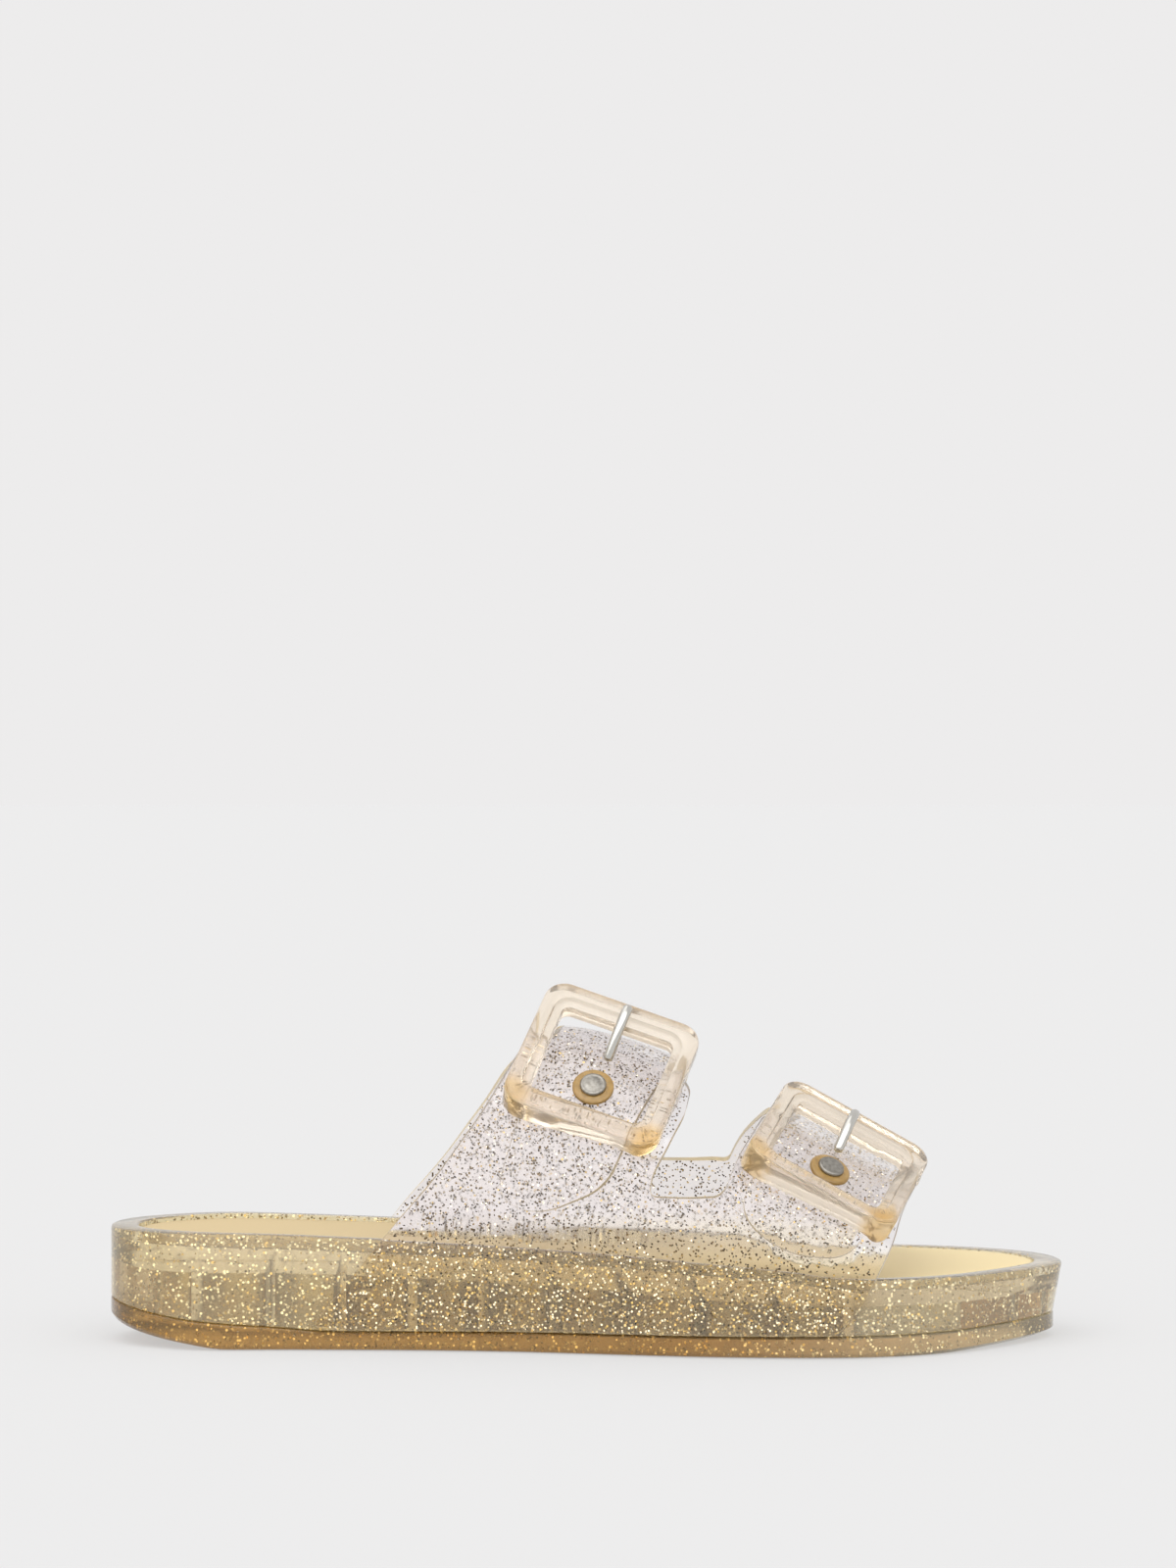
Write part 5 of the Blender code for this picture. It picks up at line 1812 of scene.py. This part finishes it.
@dataclass
class UpperGlitter(Glitter):
    """Flakes of the upper: they tumble freely over the foot, and lie as the sole's do in the flange.

    free_tumble is for the wall over the foot, and most_dark its chance of a dark flake, painted shade for flakes
    that stand dark against the light, which falls by clearer towards the toe, over clear_x in mm, and upwards,
    over clear_up in mm above the rim.
    """

    seed: int = 11
    per_area: float = 0.88
    size_mm: float = 0.58
    tumble: float = 0.24
    free_tumble: float = 0.40
    most_dark: float = 0.64
    clearer: float = 0.46
    clear_x: Point2 = (32.0, 52.0)
    clear_up: Point2 = (6.0, 14.0)

    def on_upper(self, shape: UpperShape, finishes: Sequence[bpy.types.Material]) -> bpy.types.Object:
        """Flakes of the whole upper.

        Args:
            shape: The upper's shape.
            finishes: Dark, middle and bright materials of the flakes.

        Returns:
            The object.
        """
        places, normals = self.in_sheet(shape)
        along = places[:, 0] / MM
        above = places[:, 2] / MM - np.array([shape.last.sole.rim(x) for x in along])
        # Share of flakes painted dark as shade: most over the rear, fewest towards the toe high above the rim
        dark = self.most_dark - (self.clearer * np.interp(along, self.clear_x, (0, 1))
                                 * np.interp(above, self.clear_up, (0, 1)))
        free = above > 0
        return self.scatter("glitter_upper", places, normals, finishes,
                            np.where(free, self.free_tumble, self.tumble), np.where(free, 0.0, self.lean),
                            np.where(free, dark, self.few_dark))


# Studio

@dataclass(frozen=True)
class Studio:
    """Pale floor and soft light, with the camera at the height and distance of a product shot.

    Distances and the floor's sizes are metres, lens and sensor mm, angles degrees. The world's softbox is
    full within the first of softbox_angles round its direction and gone by the second; the squeeze of X
    widens it sideways.
    """

    backdrop: str = "#EDECEC"
    camera_side: float = 0.72
    horizon: Point2 = (0.10, 0.62)
    distance: float = 1.2026
    eye: float = 0.1496
    lens: float = 101.9
    sensor: float = 36.0
    floor_reach: float = 30.0
    floor_height: float = -0.0002
    floor_albedo: float = 0.28
    floor_glow: float = 0.485
    floor_tint: Point3 = (1.0, 0.995, 0.995)
    softbox: float = 2.1
    softbox_towards: Point3 = (-0.08, -0.78, 0.62)
    softbox_squeeze: Point3 = (0.40, 1.0, 1.0)
    softbox_angles: Point2 = (26.0, 36.0)
    lamp_from: Point3 = (-0.45, -0.25, 1.6)
    lamp_spread: float = 50.0
    lamp_power: float = 0.45

    def floor(self) -> None:
        """Wide pale floor that meets the backdrop's tone far from the shoe."""
        far, height = self.floor_reach, self.floor_height
        mesh = bpy.data.meshes.new("floor")
        mesh.from_pydata([(-far, -far, height), (far, -far, height), (far, far, height), (-far, far, height)],
                         [], [(0, 1, 2, 3)])
        mesh.materials.append(new_material("matt_paper", {
            "Base Color": (self.floor_albedo,) * 3 + (1.0,), "Roughness": 1.0, "Specular IOR Level": 0.0,
            "Emission Color": (*self.floor_tint, 1.0), "Emission Strength": self.floor_glow}))
        made = put("floor", mesh)
        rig.stage(made)

    def world(self) -> None:
        """Even backdrop light, dimmer behind the camera, with a wide softbox above it."""
        world = bpy.data.worlds.new("studio")
        world.use_nodes = True
        bpy.context.scene.world = world
        tree = world.node_tree
        shade = tree.nodes["Background"]
        where = add_node(tree, "ShaderNodeTexCoord").outputs["Generated"]
        parts = add_node(tree, "ShaderNodeSeparateXYZ", links={0: where})
        depth = add_node(tree, "ShaderNodeMath", {"operation": "MULTIPLY_ADD"}, {0: parts.outputs["Y"]})
        depth.inputs[1].default_value, depth.inputs[2].default_value = 0.5, 0.5
        ramp = add_node(tree, "ShaderNodeValToRGB", links={"Fac": depth.outputs[0]})
        stops = ramp.color_ramp.elements
        stops[0].position, stops[1].position = self.horizon
        stops[0].color, stops[1].color = (self.camera_side,) * 3 + (1.0,), linear(self.backdrop)
        wide = add_node(tree, "ShaderNodeVectorMath", {"operation": "MULTIPLY"}, {0: where})
        wide.inputs[1].default_value = self.softbox_squeeze
        unit = add_node(tree, "ShaderNodeVectorMath", {"operation": "NORMALIZE"}, {0: wide.outputs["Vector"]})
        aim = add_node(tree, "ShaderNodeVectorMath", {"operation": "DOT_PRODUCT"},
                       {0: unit.outputs["Vector"]})
        aim.inputs[1].default_value = tuple(Vector(self.softbox_towards).normalized())
        full, none = (math.cos(math.radians(angle)) for angle in self.softbox_angles)
        box = add_node(tree, "ShaderNodeMapRange", {"interpolation_type": "SMOOTHSTEP"},
                       {"Value": aim.outputs["Value"]}, From_Min=none, From_Max=full, To_Min=0.0, To_Max=1.0)
        both = add_node(tree, "ShaderNodeMix", {"data_type": "RGBA"},
                        {0: box.outputs["Result"], 6: ramp.outputs["Color"]})
        both.inputs[7].default_value = (self.softbox,) * 3 + (1.0,)
        tree.links.new(both.outputs[2], shade.inputs["Color"])
        shade.inputs["Strength"].default_value = 1.0

    def lamp(self) -> None:
        """Broad, very distant soft light from above."""
        data = bpy.data.lights.new("overhead_softbox", "SUN")
        data.angle = math.radians(self.lamp_spread)
        data.energy = self.lamp_power
        made = put("overhead_softbox", data)
        made.location = self.lamp_from
        made.rotation_euler = (-Vector(self.lamp_from)).to_track_quat("-Z", "Y").to_euler()

    def camera(self) -> None:
        """Level camera on the sandal's outer side."""
        data = bpy.data.cameras.new("camera")
        data.lens, data.sensor_width, data.sensor_fit = self.lens, self.sensor, "AUTO"
        data.dof.use_dof = False
        made = put("camera", data)
        made.location = (0.0, -self.distance, self.eye)
        made.rotation_euler = (math.radians(90), 0.0, 0.0)
        bpy.context.scene.camera = made

    def build(self) -> None:
        """Make the whole studio."""
        self.floor()
        self.world()
        self.lamp()
        self.camera()
        bpy.context.scene.view_settings.view_transform = "Standard"


# Assembly

def settle(piece: bpy.types.Object, slot: str, node: str = "") -> None:
    """Say what a piece rides on, what it stands for and its record slot, and report it.

    Args:
        piece: The piece.
        slot: Its material slot in the record.
        node: The plain node that it replaces, if there is one.
    """
    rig.ride(piece, "root")
    if node:
        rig.replaces(piece, node)
    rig.slot(piece, slot)
    LOG.info("%s: %d faces, %s", piece.name, len(piece.data.polygons), slot)


def main() -> None:
    """Build every piece, dress it and set it on its body, then note both boxes."""
    logging.basicConfig(level=logging.INFO, format="%(message)s")
    shape = SoleShape()
    sole = Sole(shape)
    outsole = sole.outsole(Palette.TREAD_PVC.build())
    settle(outsole, "outsole_pvc", "outsole")
    # The flanks of the cross ribs take the painted shade
    midsole = sole.midsole(Palette.SOLE_PVC.build(), Palette.RIB_PVC.build())
    settle(midsole, "sole_pvc", "midsole")
    settle(sole.insole(Palette.FOOTBED.build()), "insole_cream", "insole")
    upper_shape = UpperShape(Last(shape))
    # The upper's trimmed edges take the painted glow
    upper = upper_shape.form().build("upper_moulding", Palette.UPPER_PVC.build(), 38.0,
                                     Palette.UPPER_EDGE.build())
    tree = tree_of(upper)
    soften_edges(upper, 0.45)
    settle(upper, "upper_pvc", "upper")
    plating, boss, cap = Palette.PLATING.build(), Palette.BOSS.build(), Palette.CAP.build()
    for name in StrapName:
        buckle = Buckle(name, tree)
        # The clear finish with a painted warm glow round the buckle's lower corners
        clear = replace(Palette.BUCKLE, name=f"{Palette.BUCKLE.name}_{name.value}", warm_at=buckle.corners())
        settle(buckle.frame(clear.build()), "buckle_amber", "buckle_" + name.value)
        settle(buckle.prong(plating), "plated_metal", "prong_" + name.value)
        settle(buckle.boss(boss), "buckle_amber")
        settle(buckle.cap(cap), "plated_metal", "rivet_" + name.value)
    # Shaded, middle and lit copies of one gold film: painted shade and painted light
    flakes = [film.build() for film in (Palette.FILM_DARK, Palette.FILM_MID, Palette.FILM_BRIGHT)]
    settle(UpperGlitter().on_upper(upper_shape, flakes), "upper_pvc")
    for seed, piece, slot in ((21, midsole, "sole_pvc"), (31, outsole, "outsole_pvc")):
        settle(Glitter(seed).on_sole("glitter_" + slot, piece, shape, flakes), slot)
    Studio().build()
    sizes = {"cad": [list(map(float, c)) for c in CAD_BOX], "visual": [list(map(float, c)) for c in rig.bounds()]}
    with open("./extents.json", "w", encoding="utf-8") as out:
        json.dump(sizes, out)


if __name__ == "__main__":
    main()
